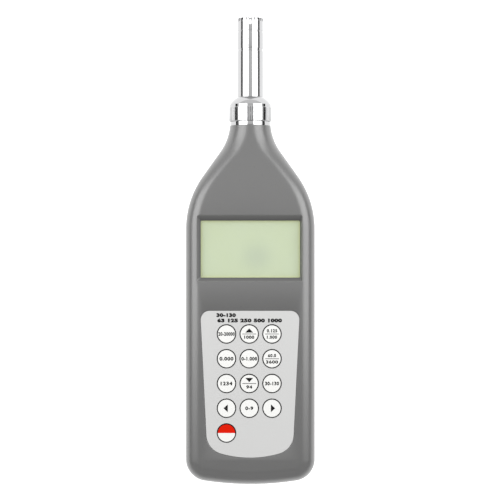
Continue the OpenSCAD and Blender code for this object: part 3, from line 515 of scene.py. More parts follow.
# %% Outline of the right-hand side
def outline(steps):
    """Stations down the right side as rows of x, y, and an inward vector one millimetre deep.

    Waist and shoulder are circle arcs about centres to the right and left, the slope joins them,
    the corner is a quarter turn, and the foot is a wide arc that ends on the centre line."""
    rad = np.radians
    flare_top, foot_half = NECK_D / 2, CASE_W / 2
    waist_dx = WAIST_R * (np.cos(rad(FLARE)) - np.cos(rad(SLOPE)))
    crest_dx = SHOULDER_R * (1 - np.cos(rad(SLOPE)))
    slope_dx = foot_half - flare_top - waist_dx - crest_dx
    y_top = Y_NECK - WAIST_R * (np.sin(rad(SLOPE)) - np.sin(rad(FLARE)))
    y_low = y_top - slope_dx / np.tan(rad(SLOPE))
    y_crest = y_low - SHOULDER_R * np.sin(rad(SLOPE))
    corner_x = foot_half - CORNER_R
    corner_y = Y_FOOT + FOOT_R - np.sqrt((FOOT_R - CORNER_R) ** 2 - corner_x**2)
    foot_turn = np.arcsin(corner_x / (FOOT_R - CORNER_R))
    a = np.linspace(rad(FLARE), rad(SLOPE), steps)
    waist = np.c_[flare_top + WAIST_R * (np.cos(rad(FLARE)) - np.cos(a)),
                  Y_NECK - WAIST_R * (np.sin(a) - np.sin(rad(FLARE))), -1 / np.cos(a), 0 * a]
    s = np.linspace(0, 1, 5)[1:-1]
    slope = np.c_[flare_top + waist_dx + slope_dx * s, y_top + (y_low - y_top) * s,
                  -1 / np.cos(rad(SLOPE)) + 0 * s, 0 * s]
    a = np.linspace(rad(SLOPE), 0, steps)
    crest = np.c_[foot_half - SHOULDER_R * (1 - np.cos(a)), y_crest + SHOULDER_R * np.sin(a),
                  -1 / np.cos(a), 0 * a]
    s = np.linspace(0, 1, 12)[1:-1]
    side = np.c_[foot_half + 0 * s, y_crest + (corner_y - y_crest) * s, -1 + 0 * s, 0 * s]
    b = np.linspace(0, np.pi / 2 - foot_turn, steps)
    corner = np.c_[corner_x + CORNER_R * np.cos(b), corner_y - CORNER_R * np.sin(b),
                   -np.cos(b), np.sin(b)]
    c = np.linspace(foot_turn, 0, 10)[1:]
    foot = np.c_[FOOT_R * np.sin(c), Y_FOOT + FOOT_R * (1 - np.cos(c)), -np.sin(c), np.cos(c)]
    return np.vstack([waist, slope, crest, side, corner, foot]), y_crest, y_low


STATIONS, Y_CREST, Y_SLOPE_LOW = outline(20)
print(len(STATIONS), "stations on a side, shoulder ends at", round(float(Y_CREST), 1), "mm")


# %% Wall profile at every station at once
def ease(t):
    """A smooth step: 3t squared less 2t cubed, held at 0 and 1 outside."""
    t = np.clip(t, 0, 1)
    return t * t * (3 - 2 * t)


EASE_AFTER, ROUND_BEFORE, NECK_FLAT = 8.0, 3.0, 0.4


def half_case(name, off=0.0, dip=0.0, mirrored=False, turns=14, seam=0.0):
    """Half of the case as one closed solid, standing on the parting plane.

    A point's inset is r - (r - off) cos t and its height is thick - r + (r - off) sin t, as t
    turns from 0 to 90 degrees. `off` makes the smaller solid inside a wall of that thickness, and
    `dip` runs it past the parting plane and the neck. `seam` bevels the edge on the parting
    plane, so two halves meet in a fine groove. One more row lies on the flat face."""
    right = STATIONS
    if dip:
        first = right[:1].copy()
        first[0, 1] += dip
        right = np.vstack([first, right])
    left = right[-2::-1] * [-1, 1, -1, 1]
    ring = np.vstack([right, left])
    x, y, ix, iy = ring.T
    neck_r, from_y = NECK_D / 2, Y_CREST + EASE_AFTER
    thick = CASE_T / 2 + (neck_r - CASE_T / 2) * ease((y - from_y) / (Y_NECK - from_y))
    round_y = Y_NECK - ROUND_BEFORE - Y_SLOPE_LOW
    r = EDGE_R + (neck_r - NECK_FLAT - EDGE_R) * ease((y - Y_SLOPE_LOW) / round_y)
    t = np.radians(np.linspace(0, 90, turns + 1))
    inset = r[:, None] - (r[:, None] - off) * np.cos(t)
    height = (thick - r)[:, None] + (r[:, None] - off) * np.sin(t)
    step = np.minimum(0.5, 0.3 * (np.abs(x) + 40 * np.abs(iy) - r)).clip(0.05)
    level = inset[:, -1:] + step[:, None]
    foot = np.array([[seam, 0.0], [0.0, seam]] if seam else [[off, -dip]])
    inset = np.hstack([np.tile(foot[:, 0], (len(ring), 1)), inset, level])
    height = np.hstack([np.tile(foot[:, 1], (len(ring), 1)), height, height[:, -1:]])
    across, along = x[:, None] + ix[:, None] * inset, y[:, None] + iy[:, None] * inset
    points = np.stack([across, along, height], axis=2)
    if mirrored:
        points[:, :, 2] *= -1
    points[:, :, 2] += Z_PART
    rows, cols = points.shape[:2]
    faces = grid_faces(rows, cols)
    i = np.arange((rows - 1) // 2)
    j = rows - 1 - i
    for k in (0, cols - 1):
        quads = np.stack([i, j, j - 1, i + 1], axis=1) * cols + k
        quads = quads.tolist()
        quads[-1] = [quads[-1][0], quads[-1][1], quads[-1][3]]
        faces += quads
    last = (rows - 1) * cols
    faces.append(list(range(cols)) + list(range(last + cols - 1, last - 1, -1)))
    return solid(name, points.reshape(-1, 3), faces)


# %% [markdown]
# ## Front shell
# The front starts as the outer solid less the inner one. The display opening is cut with a stack
# of rounded rectangles: they narrow towards the glass to make the sloping sill, and the topmost
# ones flare out so the edge at the face is softly rounded, as a mould leaves it.


# %% Rectangles, pad outline and cutters
def rectangle(half_w, half_h, middle_y, r, z, steps=7):
    """A rounded rectangle loop: four quarter circles of radius r about the inner corners."""
    a = np.radians(np.linspace(0, 90, steps))
    quarter = np.concatenate([a, a + np.pi / 2, a + np.pi, a + 3 * np.pi / 2])
    cx = np.repeat([half_w - r, r - half_w, r - half_w, half_w - r], steps)
    cy = np.repeat([half_h - r, half_h - r, r - half_h, r - half_h], steps)
    return np.c_[cx + r * np.cos(quarter), middle_y + cy + r * np.sin(quarter),
                 np.full(4 * steps, z)]


WINDOW_W, WINDOW_H, WINDOW_Y = 52.5, 32.8, Y_NECK - 62.0
SILL_LEFT, SILL_RIGHT, SILL_TOP, SILL_BOTTOM = 1.85, 1.05, 2.4, 1.9
VIEW_W, VIEW_H = WINDOW_W - SILL_LEFT - SILL_RIGHT, WINDOW_H - SILL_TOP - SILL_BOTTOM
VIEW_Y = WINDOW_Y + (SILL_BOTTOM - SILL_TOP) / 2
WINDOW_X = (SILL_RIGHT - SILL_LEFT) / 2
OPENING_R, VIEW_R = 0.8, 0.5
Z_IN = Z_FACE - WALL
Z_GLASS = Z_IN + 0.25


def window_cutter(soft=0.45):
    """Loops from above the face to below the wall; depth d and flare f follow a quarter circle."""
    t = np.radians(np.linspace(0, 90, 7))
    flare, depth = soft * (1 - np.sin(t)), soft * (1 - np.cos(t))
    rows = [(soft, Z_FACE + 1)] + list(zip(flare, Z_FACE - depth))
    loops = [rectangle(WINDOW_W / 2 + f, WINDOW_H / 2 + f, WINDOW_Y, OPENING_R, z) for f, z in rows]
    for loop in loops:
        loop[:, 0] += WINDOW_X
    loops += [rectangle(VIEW_W / 2, VIEW_H / 2, VIEW_Y, VIEW_R, z) for z in (Z_GLASS, Z_IN - 1)]
    return loft("window_cutter", loops, 50)


PAD_W, PAD_LOW_W, PAD_H, PAD_Y, PAD_X = 49.2, 43.6, 73.3, Y_NECK - 93.0, -0.15
PAD_TOP_R, PAD_LOW_R, PAD_FOOT_R = 4.5, 10.0, 52.0


def pad_loop(off, z, steps=14):
    """The keypad's outline, `off` inside its edge: two corners at the top, two wide ones below
    and a bowed foot between them, the same curves as the construction model's."""
    low_x = PAD_LOW_W / 2 - PAD_LOW_R
    foot_y = PAD_Y - PAD_H
    low_y = foot_y + PAD_FOOT_R - np.sqrt((PAD_FOOT_R - PAD_LOW_R) ** 2 - low_x**2)
    turn = np.arcsin(low_x / (PAD_FOOT_R - PAD_LOW_R))
    a = np.linspace(np.pi / 2, 0, steps)
    top = np.c_[PAD_W / 2 - PAD_TOP_R + (PAD_TOP_R - off) * np.cos(a),
                PAD_Y - PAD_TOP_R + (PAD_TOP_R - off) * np.sin(a)]
    b = np.linspace(0, np.pi / 2 - turn, steps)
    low = np.c_[low_x + (PAD_LOW_R - off) * np.cos(b), low_y - (PAD_LOW_R - off) * np.sin(b)]
    c = np.linspace(turn, 0, 12)[1:]
    foot = np.c_[(PAD_FOOT_R - off) * np.sin(c),
                 foot_y + PAD_FOOT_R - (PAD_FOOT_R - off) * np.cos(c)]
    right = np.vstack([top, low, foot])
    ring = np.vstack([right, right[-2::-1] * [-1, 1]]) + [PAD_X, 0]
    return np.c_[ring, np.full(len(ring), z)]


FILM_T, SPACER_T, PAD_BOARD_T = 0.4, 1.4, 0.8
Z_OVERLAY = Z_FACE - 0.1
Z_PAD_FLOOR = Z_OVERLAY - FILM_T - SPACER_T - PAD_BOARD_T


def pad_cutter(gap=0.15, soft=0.2):
    """The keypad's recess, a little wider than the overlay, with a softened edge at the face."""
    t = np.radians(np.linspace(0, 90, 5))
    loops = [pad_loop(-gap - soft, Z_FACE + 1)]
    loops += [pad_loop(-gap - soft * (1 - np.sin(u)), Z_FACE - soft * (1 - np.cos(u))) for u in t]
    loops += [pad_loop(-gap, Z_PAD_FLOOR)]
    return loft("pad_cutter", loops, 50)


jack_low, jack_high = measured("output_jack")
JACK_Y, JACK_R = float(jack_low[1] + jack_high[1]) / 2, 3.15


def jack_cutter(x0=28, x1=36, sides=48):
    """The jack's hole: a circle in the YZ plane carried from x0 to x1, through the side wall."""
    a = np.linspace(0, 2 * np.pi, sides, endpoint=False)
    y, z = JACK_Y + JACK_R * np.cos(a), Z_PART + JACK_R * np.sin(a)
    return loft("jack_cutter", [np.c_[np.full(sides, x), y, z] for x in (x0, x1)])


# %% Build the front shell
front = half_case("front_case", seam=0.2)
carve(front, half_case("inner", WALL, 1.0))
pad_boss = loft("pad_boss", [pad_loop(-WALL, z) for z in (Z_PAD_FLOOR - 1.5, Z_IN + 0.5)])
carve(front, pad_boss, "UNION")
carve(front, window_cutter())
carve(front, pad_cutter())
carve(front, jack_cutter())
tidy_mesh(front)
# The front's finish has painted shade on the display pocket's sill, darker with depth below the
# face.
pocket_half = (WINDOW_W * MM / 2 + MM, WINDOW_H * MM / 2 + MM)
front_grey_sill_shade = paint_sill_shade(moulded("front_grey_sill_shade", *CASE_FINISH), (WINDOW_X * MM, WINDOW_Y * MM),
                        pocket_half, (Z_FACE - 0.1) * MM)
dress(front, front_grey_sill_shade, "case", "case_grey", "front_shell")
print("front shell:", len(front.data.polygons), "faces")

# %% [markdown]
# ## Rear shell
# The back is the same curve turned over. It holds the battery bay, so the door's track, the bay
# and the screw holes are cut as the construction model has them: when the door slides off, the
# cells are seen lying in a real bay.

# %% Measures of the rear shell's inside
plates_low = measured("contact_plates")[0]
insert_low, insert_high = measured("tripod_insert")
screws_high = measured("case_screws")[1]
BAY_HALF, BAY_FOOT, BAY_WALL = 21.6, float(plates_low[1]), 1.2
BAY_TOP = BAY_FOOT + 49.9
Z_SKIN, Z_TRACK, Z_BAY = 1.0, 2.1, 13.0
Z_GROOVE_LOW, Z_GROOVE_TOP, GROOVE_IN = 0.7, 1.6, 0.8
DOOR_HALF, DOOR_TOP, DOOR_GAP = BAY_HALF + 0.7, BAY_TOP + 2.2, 0.1
POST_R, HOLE_R, HEAD_R, HEAD_MIDDLE, HEAD_TOP = 4.2, 1.7, 3.0, 2.7, 4.6
LOW_SCREW = (17.0, BAY_FOOT - BAY_WALL - POST_R - 1.1)
HIGH_SCREW = (float(screws_high[0]) - HEAD_MIDDLE, float(screws_high[1]) - HEAD_MIDDLE)
screw_places = [(side * x, y) for x, y in (LOW_SCREW, HIGH_SCREW) for side in (1, -1)]
INSERT_Y = float(insert_low[1] + insert_high[1]) / 2
INSERT_POST_R, INSERT_R, FLANGE_R = 6.0, 4.28, 5.15
print(f"battery bay from {BAY_FOOT:.1f} to {BAY_TOP:.1f} mm, {len(screw_places)} case screws")

# %% Build the rear shell
rear = half_case("rear_case", mirrored=True, seam=0.2)
carve(rear, half_case("inner", WALL, 1.0, mirrored=True))
inside = half_case("inside", WALL / 2, mirrored=True)
bay_x, bay_low, bay_high = BAY_HALF + BAY_WALL, BAY_FOOT - BAY_WALL, BAY_TOP + BAY_WALL
blocks = block("bay_block", (-bay_x, bay_low, Z_SKIN), (bay_x, bay_high, Z_PART - 0.01))
carve(blocks, block("track_block", (-DOOR_HALF - 2.8, Y_FOOT, Z_SKIN),
                    (DOOR_HALF + 2.8, DOOR_TOP + 2.5, 4.0)), "UNION")
for x, y in screw_places:
    carve(blocks, post("screw_post", x, y, POST_R, Z_SKIN, Z_PART - 0.01), "UNION")
carve(blocks, post("insert_post", 0, INSERT_Y, INSERT_POST_R, Z_SKIN, 10.2), "UNION")
carve(blocks, inside, "INTERSECT")
carve(rear, blocks, "UNION")
carve(rear, block("bay_roof", (-bay_x, bay_low, Z_PART - 0.5), (bay_x, bay_high, Z_BAY + BAY_WALL)),
      "UNION")
track_x, track_top = DOOR_HALF + DOOR_GAP, DOOR_TOP + DOOR_GAP
groove_x = track_x + GROOVE_IN
carve(rear, block("track", (-track_x, Y_FOOT - 1, -1), (track_x, track_top, Z_TRACK)))
carve(rear, block("groove", (-groove_x, Y_FOOT - 1, Z_GROOVE_LOW),
                  (groove_x, track_top, Z_GROOVE_TOP)))
carve(rear, block("bay", (-BAY_HALF, BAY_FOOT, -1), (BAY_HALF, BAY_TOP, Z_BAY)))
for x, y in screw_places:
    carve(rear, post("screw_hole", x, y, HOLE_R, -1, Z_PART + 1))
    carve(rear, post("head_hole", x, y, HEAD_R, -1, HEAD_TOP))
carve(rear, post("insert_hole", 0, INSERT_Y, INSERT_R, -1, 8.2))
carve(rear, post("flange_hole", 0, INSERT_Y, FLANGE_R, -1, 1.2))
carve(rear, jack_cutter())
tidy_mesh(rear)
dress(rear, finish["case_grey"], "case", "case_grey", "rear_shell")
print("rear shell:", len(rear.data.polygons), "faces")

# %% [markdown]
# ## Bright metal
# Everything on the microphone is turned on a lathe, so each piece is a profile of radius and
# length spun about the microphone's axis. A polished cylinder shows every facet in what it
# mirrors, so these are spun with many more steps than the construction parts have.


# %% Lathe
def turned(name, profile, steps=160, wave=None, sharp=30.0):
    """Spins a closed profile of (radius, y) rows about the microphone's axis.

    x = r cos a and z = axis + r sin a. `wave` is an array (profile row, step) added to r."""
    profile = np.asarray(profile, float)
    a = np.linspace(0, 2 * np.pi, steps, endpoint=False)
    r = np.repeat(profile[:, :1], steps, axis=1)
    if wave is not None:
        r = r + wave
    y = np.repeat(profile[:, 1:2], steps, axis=1)
    points = np.stack([r * np.cos(a), y, Z_PART + r * np.sin(a)], axis=2)
    return solid(name, points.reshape(-1, 3), grid_faces(len(profile), steps, True, True), sharp)


def softened(corner, before, after, r, steps=4):
    """Rounds one profile corner: points on a curve from r before it to r after it."""
    corner, before, after = (np.asarray(p, float) for p in (corner, before, after))
    p0 = corner + (before - corner) / np.linalg.norm(before - corner) * r
    p2 = corner + (after - corner) / np.linalg.norm(after - corner) * r
    t = np.linspace(0, 1, steps + 1)[:, None]
    return (1 - t) ** 2 * p0 + 2 * t * (1 - t) * corner + t**2 * p2


def rounded(profile, radii):
    """A closed profile with each corner rounded by its own radius (0 leaves it sharp)."""
    profile = np.asarray(profile, float)
    parts = [softened(p, profile[i - 1], profile[(i + 1) % len(profile)], r) if r else p[None]
             for i, (p, r) in enumerate(zip(profile, radii))]
    return np.vstack(parts)


MIC_R, GRID_LEN, CAPSULE_LEN, CAPSULE_NECK = MIC_D / 2, 6.7, 8.9, 1.2
Y_NUT = Y_NECK + 2.2
KNURL_TOP = Y_NUT + 7.1
BAND_TOP = KNURL_TOP + 1.4
THREAD_R = NECK_D / 2 - 1.9
GRID_FOOT = Y_TIP - GRID_LEN
TUBE_TOP = GRID_FOOT - CAPSULE_LEN - CAPSULE_NECK
CAPSULE_FOOT = TUBE_TOP + CAPSULE_NECK
nickel = finish["barrel_nickel"]

# %% Neck bush with its collar
COLLAR_R, COLLAR_TOP = NECK_D / 2 - 0.1, Y_NUT - 0.1
BUSH_BORE, BUSH_R, BUSH_FOOT, THREAD_TOP = 6.55, 8.0, Y_NECK - 12, Y_NUT + 5
bush = turned("collar_bush", rounded(
    [[BUSH_BORE, BUSH_FOOT], [BUSH_R, BUSH_FOOT], [BUSH_R, Y_NECK], [COLLAR_R, Y_NECK],
     [COLLAR_R, COLLAR_TOP], [THREAD_R, COLLAR_TOP], [THREAD_R, THREAD_TOP],
     [BUSH_BORE, THREAD_TOP]], [0, 0, 0, 0.12, 0.12, 0, 0.2, 0]))
dress(bush, nickel, "case", "barrel_nickel", "neck_bush")


# %% Knurled lock nut
def nut_profile():
    """Bore, knurled band between two small chamfers, plain band, and a crown that is one arc."""
    nut_r, body_r, hole_r, cavity_r = 10.95, 10.6, MIC_R + 0.15, THREAD_R + 0.08
    crown_r, chamfer = 10, 0.15
    a = np.radians(np.linspace(29, 61, 14))
    crown = np.c_[body_r - crown_r * (np.cos(a[0]) - np.cos(a)),
                  BAND_TOP + crown_r * (np.sin(a) - np.sin(a[0]))]
    rows = [[cavity_r, Y_NUT], [nut_r - chamfer, Y_NUT], [nut_r, Y_NUT + chamfer],
            [nut_r, KNURL_TOP - chamfer], [nut_r - chamfer, KNURL_TOP],
            [body_r, KNURL_TOP + 0.03], [body_r, BAND_TOP - 0.4]]
    rows += crown.tolist() + [[hole_r, crown[-1, 1]], [hole_r, KNURL_TOP], [cavity_r, KNURL_TOP]]
    return np.array(rows)


KNURL_TEETH, TOOTH_STEPS, TOOTH = 60, 10, 0.25
nut_rows = nut_profile()
nut_steps = KNURL_TEETH * TOOTH_STEPS
tooth_wave = np.where(np.arange(nut_steps) % TOOTH_STEPS == 0, -TOOTH, 0.0)
nut_wave = np.zeros((len(nut_rows), nut_steps))
nut_wave[1:5] = tooth_wave
lock_nut = turned("knurled_nut", nut_rows, nut_steps, nut_wave, 25.0)
dress(lock_nut, nickel, "nut", "barrel_nickel", "lock_nut")
print("lock nut:", len(lock_nut.data.polygons), "faces,", KNURL_TEETH, "teeth")

# %% Preamplifier tube and capsule
TUBE_BORE, SEAT_R, CATCH_R, CATCH_FOOT, CATCH_TOP = 5.7, 5.85, 8.25, Y_NUT + 5.2, Y_NUT + 7.0
tube_piece = turned("preamp_barrel", rounded(
    [[TUBE_BORE, CATCH_FOOT], [CATCH_R, CATCH_FOOT], [CATCH_R, CATCH_TOP], [MIC_R, CATCH_TOP],
     [MIC_R, TUBE_TOP], [SEAT_R, TUBE_TOP], [SEAT_R, TUBE_TOP - 4], [TUBE_BORE, TUBE_TOP - 4]],
    [0, 0.1, 0.1, 0, 0.15, 0, 0, 0]))
dress(tube_piece, nickel, "microphone", "barrel_nickel", "preamp_tube")
CAPSULE_BORE, SPIGOT_R, GROOVE_R, GROOVE_FOOT = 5.0, 5.77, MIC_R - 0.2, GRID_FOOT - 0.55
capsule = turned("capsule_barrel", rounded(
    [[CAPSULE_BORE, TUBE_TOP - 3.6], [SPIGOT_R, TUBE_TOP - 3.6], [SPIGOT_R, TUBE_TOP],
     [GROOVE_R, TUBE_TOP], [GROOVE_R, CAPSULE_FOOT], [MIC_R, CAPSULE_FOOT], [MIC_R, GROOVE_FOOT],
     [GROOVE_R, GROOVE_FOOT], [GROOVE_R, GRID_FOOT], [SPIGOT_R, GRID_FOOT],
     [SPIGOT_R, GRID_FOOT + 3], [CAPSULE_BORE, GRID_FOOT + 3]],
    [0, 0, 0, 0.05, 0, 0.12, 0.06, 0, 0, 0, 0.1, 0]))
dress(capsule, nickel, "microphone", "barrel_nickel", "capsule_housing")

# %% Slotted protection grid
GRID_R, GRID_T = MIC_R - 0.05, 0.7
LONG_SLOT, SHORT_SLOT = 0.55, 0.35
grid_cap = turned("grid_cap", np.vstack([
    [[SEAT_R, GRID_FOOT + 0.02], [GRID_R - 0.1, GRID_FOOT + 0.02], [GRID_R, GRID_FOOT + 0.12]],
    softened([GRID_R, Y_TIP], [GRID_R, Y_TIP - 1], [GRID_R - 1, Y_TIP], 0.55, 6),
    [[2.0, Y_TIP], [0.0, Y_TIP], [0.0, Y_TIP - GRID_T], [SEAT_R, Y_TIP - GRID_T]]]))


def slot_cutters(name, angles, inner, foot, half_w):
    """Boxes that point outwards from the axis at each angle, as one mesh of separate solids."""
    angles = np.radians(np.asarray(angles, float))[:, None]
    out = np.repeat([inner, MIC_R + 1.4], 4)
    y = np.array([foot, foot, Y_TIP + 1, Y_TIP + 1] * 2, float)
    w = np.array([-1, 1, 1, -1] * 2, float) * half_w
    x = out * np.cos(angles) - w * np.sin(angles)
    z = Z_PART + out * np.sin(angles) + w * np.cos(angles)
    points = np.stack([x, np.broadcast_to(y, x.shape), z], axis=2).reshape(-1, 3)
    box = np.array([[0, 1, 2, 3], [7, 6, 5, 4], [0, 4, 5, 1],
                    [1, 5, 6, 2], [2, 6, 7, 3], [3, 7, 4, 0]])
    faces = (box[None] + 8 * np.arange(len(angles))[:, None, None]).reshape(-1, 4)
    return solid(name, points, faces.tolist())


carve(grid_cap, slot_cutters("long_slots", [90, 0, 180, 270], 2.2, GRID_FOOT + 0.35, LONG_SLOT))
short_angles = [90 + 18 * i for i in range(20) if i % 5]
carve(grid_cap, slot_cutters("rim_slots", short_angles, 4.4, Y_TIP - 1.8, SHORT_SLOT))
tidy_mesh(grid_cap, 30)
dress(grid_cap, nickel, "microphone", "barrel_nickel", "protection_grid")
print("grid:", len(grid_cap.data.polygons), "faces,", 4 + len(short_angles), "slots")

# %% [markdown]
# ## Keypad
# Each key is a low disc with a rounded rim that stands a quarter of a millimetre proud of a pale
# overlay. A dark ring is printed round every key. The marks on the keys are arrows and plain
# figures, printed in black with a grey line between an upper mark and a lower one.

# %% Key places
KEY_R, KEY_GAP, PITCH_X, PITCH_Y = 4.45, 0.2, 11.35, 12.35
KEY_ROW, KEY_X = PAD_Y - 11.57, -0.55
key_spots = [(KEY_X + col * PITCH_X, KEY_ROW - row * PITCH_Y)
             for row in range(4) for col in (-1, 0, 1)]
key_spots.append((KEY_X - PITCH_X, KEY_ROW - 4 * PITCH_Y))
key_names = [f"key_{i}" for i in range(1, 13)] + ["key_power"]
Z_KEY = Z_OVERLAY + 0.25


def disc_loops(x, y, rows, steps=64):
    """Circles of radius r at height z, for each (r, z) row, about the upright line at x, y."""
    a = np.linspace(0, 2 * np.pi, steps, endpoint=False)
    rows = np.asarray(rows, float)
    r, z = rows[:, :1], rows[:, 1:]
    return np.stack([x + r * np.cos(a), y + r * np.sin(a), z + 0 * a], axis=2)


# %% Key caps
RIM_INK, RIM_R = KEY_R - 0.15, 0.1
STEM_R, CAP_FLANGE_R, FLANGE_GAP = 1.4, KEY_R + 0.55, 0.1


def mark_rim(cap, x, y):
    """Stores 1 on every point further than RIM_INK from the key's own centre and 0 on the rest."""
    spots = np.empty(len(cap.data.vertices) * 3)
    cap.data.vertices.foreach_get("co", spots)
    away = np.hypot(spots[0::3] / MM - x, spots[1::3] / MM - y)
    inked = cap.data.attributes.new("rim", "FLOAT", "POINT")
    inked.data.foreach_set("value", (away > RIM_INK).astype(float))


for name, (x, y) in zip(key_names, key_spots):
    low_z = Z_OVERLAY - FILM_T
    t = np.radians(np.linspace(0, 90, 5))
    rim = np.c_[KEY_R - RIM_R * (1 - np.cos(t)), Z_KEY - RIM_R + RIM_R * np.sin(t)]
    rows = np.vstack([[[STEM_R, low_z - 0.95], [STEM_R, low_z - 0.55],
                       [CAP_FLANGE_R, low_z - 0.55], [CAP_FLANGE_R, low_z - FLANGE_GAP],
                       [KEY_R, low_z - FLANGE_GAP]], rim,
                      [[RIM_INK + 0.005, Z_KEY], [RIM_INK - 0.005, Z_KEY], [0.6, Z_KEY]]])
    cap = loft(f"cap_{name}", disc_loops(x, y, rows), 30)
    mark_rim(cap, x, y)
    slot = "key_red" if name == "key_power" else "key_white"
    dress(cap, finish[slot], name, slot, name)
print("caps:", len(key_names))

# %% Overlay with its holes, and the printed rings
overlay = loft("overlay_film", [pad_loop(0.0, Z_OVERLAY - FILM_T), pad_loop(0.0, Z_OVERLAY - 0.08),
                                pad_loop(0.08, Z_OVERLAY)], 50)
holes = [disc_loops(x, y, [[KEY_R + KEY_GAP, Z_OVERLAY - 1], [KEY_R + KEY_GAP, Z_OVERLAY + 1]])
         for x, y in key_spots]


def many_lofts(name, stacks, sharp=32.0):
    """Several lofted solids in one mesh; every stack has the same number of loops and points."""
    stacks = np.asarray(stacks, float)
    count, rows, cols = stacks.shape[:3]
    one = grid_faces(rows, cols, wrap_cols=True)
    caps = [list(range(cols))[::-1], list(range((rows - 1) * cols, rows * cols))]
    faces = [[k + n * rows * cols for k in face] for n in range(count) for face in one + caps]
    return solid(name, stacks.reshape(-1, 3), faces, sharp)


carve(overlay, many_lofts("key_holes", holes))
tidy_mesh(overlay, 40)
dress(overlay, finish["overlay_grey"], "case", "overlay_grey", "keypad_overlay")

PRINT, RING_IN, RING_OUT, RING_STEPS = 0.015, 4.66, 4.88, 72
ring_profile = np.array([[RING_IN, 0], [RING_OUT, 0], [RING_OUT, PRINT], [RING_IN, PRINT]], float)


def print_rings(name):
    """Flat rings round every key: a small rectangle spun about each key's centre."""
    a = np.linspace(0, 2 * np.pi, RING_STEPS, endpoint=False)
    ring = np.stack([ring_profile[:, :1] * np.cos(a), ring_profile[:, :1] * np.sin(a),
                     Z_OVERLAY + ring_profile[:, 1:] + 0 * a], axis=2)
    spots = np.array([[x, y, 0.0] for x, y in key_spots])
    points = (ring[None] + spots[:, None, None, :]).reshape(-1, 3)
    one = np.array(grid_faces(4, RING_STEPS, True, True))
    faces = (one[None] + (4 * RING_STEPS) * np.arange(len(spots))[:, None, None]).reshape(-1, 4)
    return solid(name, points, faces.tolist())


rings = print_rings("printed_rings")
dress(rings, ring_ink, "case", "overlay_grey")


# %% Printed signs as thin plates
def plates(name, outlines, z, thick=PRINT):
    """Thin plates from flat outlines in millimetres, all in one mesh."""
    points, faces = [], []
    for outline_points in outlines:
        loop = np.asarray(outline_points, float)
        n, start = len(loop), len(points)
        points += np.c_[loop, np.full(n, z)].tolist() + np.c_[loop, np.full(n, z + thick)].tolist()
        side = np.array(grid_faces(2, n, wrap_cols=True))[:, [0, 3, 2, 1]] + start
        faces += side.tolist()
        faces += [list(range(start, start + n))[::-1], list(range(start + n, start + 2 * n))]
    return solid(name, points, faces)


def bar(cx, cy, w, h):
    """A rectangle about its centre."""
    return [(cx + i * w / 2, cy + j * h / 2) for i, j in ((-1, -1), (1, -1), (1, 1), (-1, 1))]


def arrow(cx, cy, w, h, turn):
    """A triangle whose tip points up, turned by `turn` degrees."""
    tri = np.array([(-w / 2, -h / 2), (w / 2, -h / 2), (0, h / 2)])
    c, s = np.cos(np.radians(turn)), np.sin(np.radians(turn))
    return (tri @ np.array([[c, s], [-s, c]]) + (cx, cy)).tolist()


spot_of = dict(zip(key_names, key_spots))
ARROW_W, ARROW_H, LINE_W, LINE_H = 3.9, 2.1, 6.9, 0.36
signs = {  # x and y from the key's centre, and the turn
    "key_2": (0, 1.75, 0), "key_8": (0, 1.75, 180),
    "key_10": (-0.4, 0, 90), "key_12": (0.5, 0, -90),
}
for name, (dx, dy, turn) in signs.items():
    moved = np.asarray(arrow(dx, dy, ARROW_W, ARROW_H, turn), float) + spot_of[name]
    dress(plates(f"sign_{name}", [moved], Z_KEY), ink, name, "key_white")
for name in ("key_2", "key_3", "key_6", "key_8"):
    dress(plates(f"line_{name}", [bar(*spot_of[name], LINE_W, LINE_H)], Z_KEY),
          line_ink, name, "key_white")
print("signs:", sorted(signs))


# %% Figures printed flat
FIGURE_SIZE, FIGURE_SPACE = 2.6, 1.12


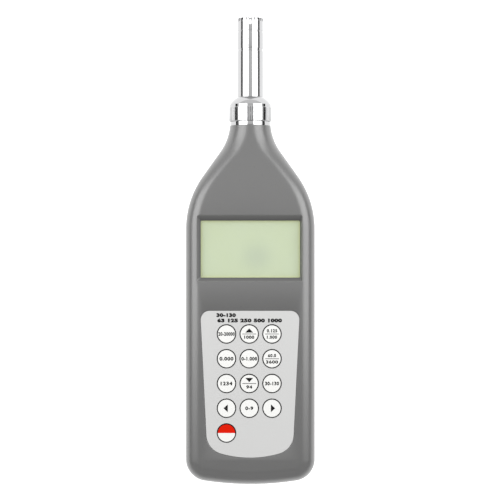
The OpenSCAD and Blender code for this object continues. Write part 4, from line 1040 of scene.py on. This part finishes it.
def figures(name, words, x0, x1, y0, y1, z, bold=0.12):
    """Turns a line of figures into a thin mesh that fills the box x0..x1, y0..y1 at height z.

    Every point is moved by one straight rule: low + (point - least) * wanted / found."""
    curve = bpy.data.curves.new(name, "FONT")
    curve.body, curve.size, curve.extrude = words, FIGURE_SIZE * MM, PRINT * MM / 2
    curve.offset, curve.space_character = bold * MM, FIGURE_SPACE
    curve.resolution_u = 3
    made = bpy.data.objects.new(name, curve)
    bpy.context.scene.collection.objects.link(made)
    depsgraph = bpy.context.evaluated_depsgraph_get()
    mesh = bpy.data.meshes.new_from_object(made.evaluated_get(depsgraph))
    bpy.data.objects.remove(made)
    spots = np.empty(len(mesh.vertices) * 3)
    mesh.vertices.foreach_get("co", spots)
    spots = spots.reshape(-1, 3)
    least, most = spots.min(axis=0), spots.max(axis=0)
    wanted = np.array([x1 - x0, y1 - y0, PRINT]) * MM
    spots = np.array([x0, y0, z]) * MM + (spots - least) * wanted / (most - least)
    mesh.vertices.foreach_set("co", spots.ravel())
    thing = bpy.data.objects.new(name, mesh)
    bpy.context.scene.collection.objects.link(thing)
    return thing


legends = [  # key, figures, width, height of the middle above the key's centre, height
    ("key_1", "20-20000", 8.2, 0.0, 1.9), ("key_2", "1000", 5.0, -1.6, 1.7),
    ("key_3", "0.125", 5.2, 1.6, 1.7), ("key_3", "1.000", 5.1, -1.6, 1.7),
    ("key_4", "0.000", 7.0, 0.0, 1.9), ("key_5", "0-1.000", 7.9, 0.0, 1.9),
    ("key_6", "60.0", 4.1, 1.6, 1.7), ("key_6", "3600", 6.1, -1.6, 1.7),
    ("key_7", "1234", 5.9, 0.0, 1.9), ("key_8", "94", 3.0, -1.75, 1.7),
    ("key_9", "30-130", 7.0, 0.0, 1.9), ("key_11", "0-9", 4.0, 0.0, 1.9),
]
for number, (name, words, width, lift, height) in enumerate(legends):
    x, y = spot_of[name]
    made = figures(f"legend_{number}", words, x - width / 2, x + width / 2,
                   y + lift - height / 2, y + lift + height / 2, Z_KEY)
    dress(made, ink, name, "key_white")
pad_lines = [  # name, figures, left, right, then foot and head as depths below the pad's top
    ("range_figures", "30-130", -16.9, -7.2, 3.2, 1.2),
    ("band_figures", "63 125 250 500 1000", -16.5, 15.8, 5.85, 3.8),
]
for name, words, x0, x1, foot, head in pad_lines:
    made = figures(name, words, x0, x1, PAD_Y - foot, PAD_Y - head, Z_OVERLAY, 0.2)
    dress(made, ink, "case", "overlay_grey")
print("legends:", len(legends) + len(pad_lines))
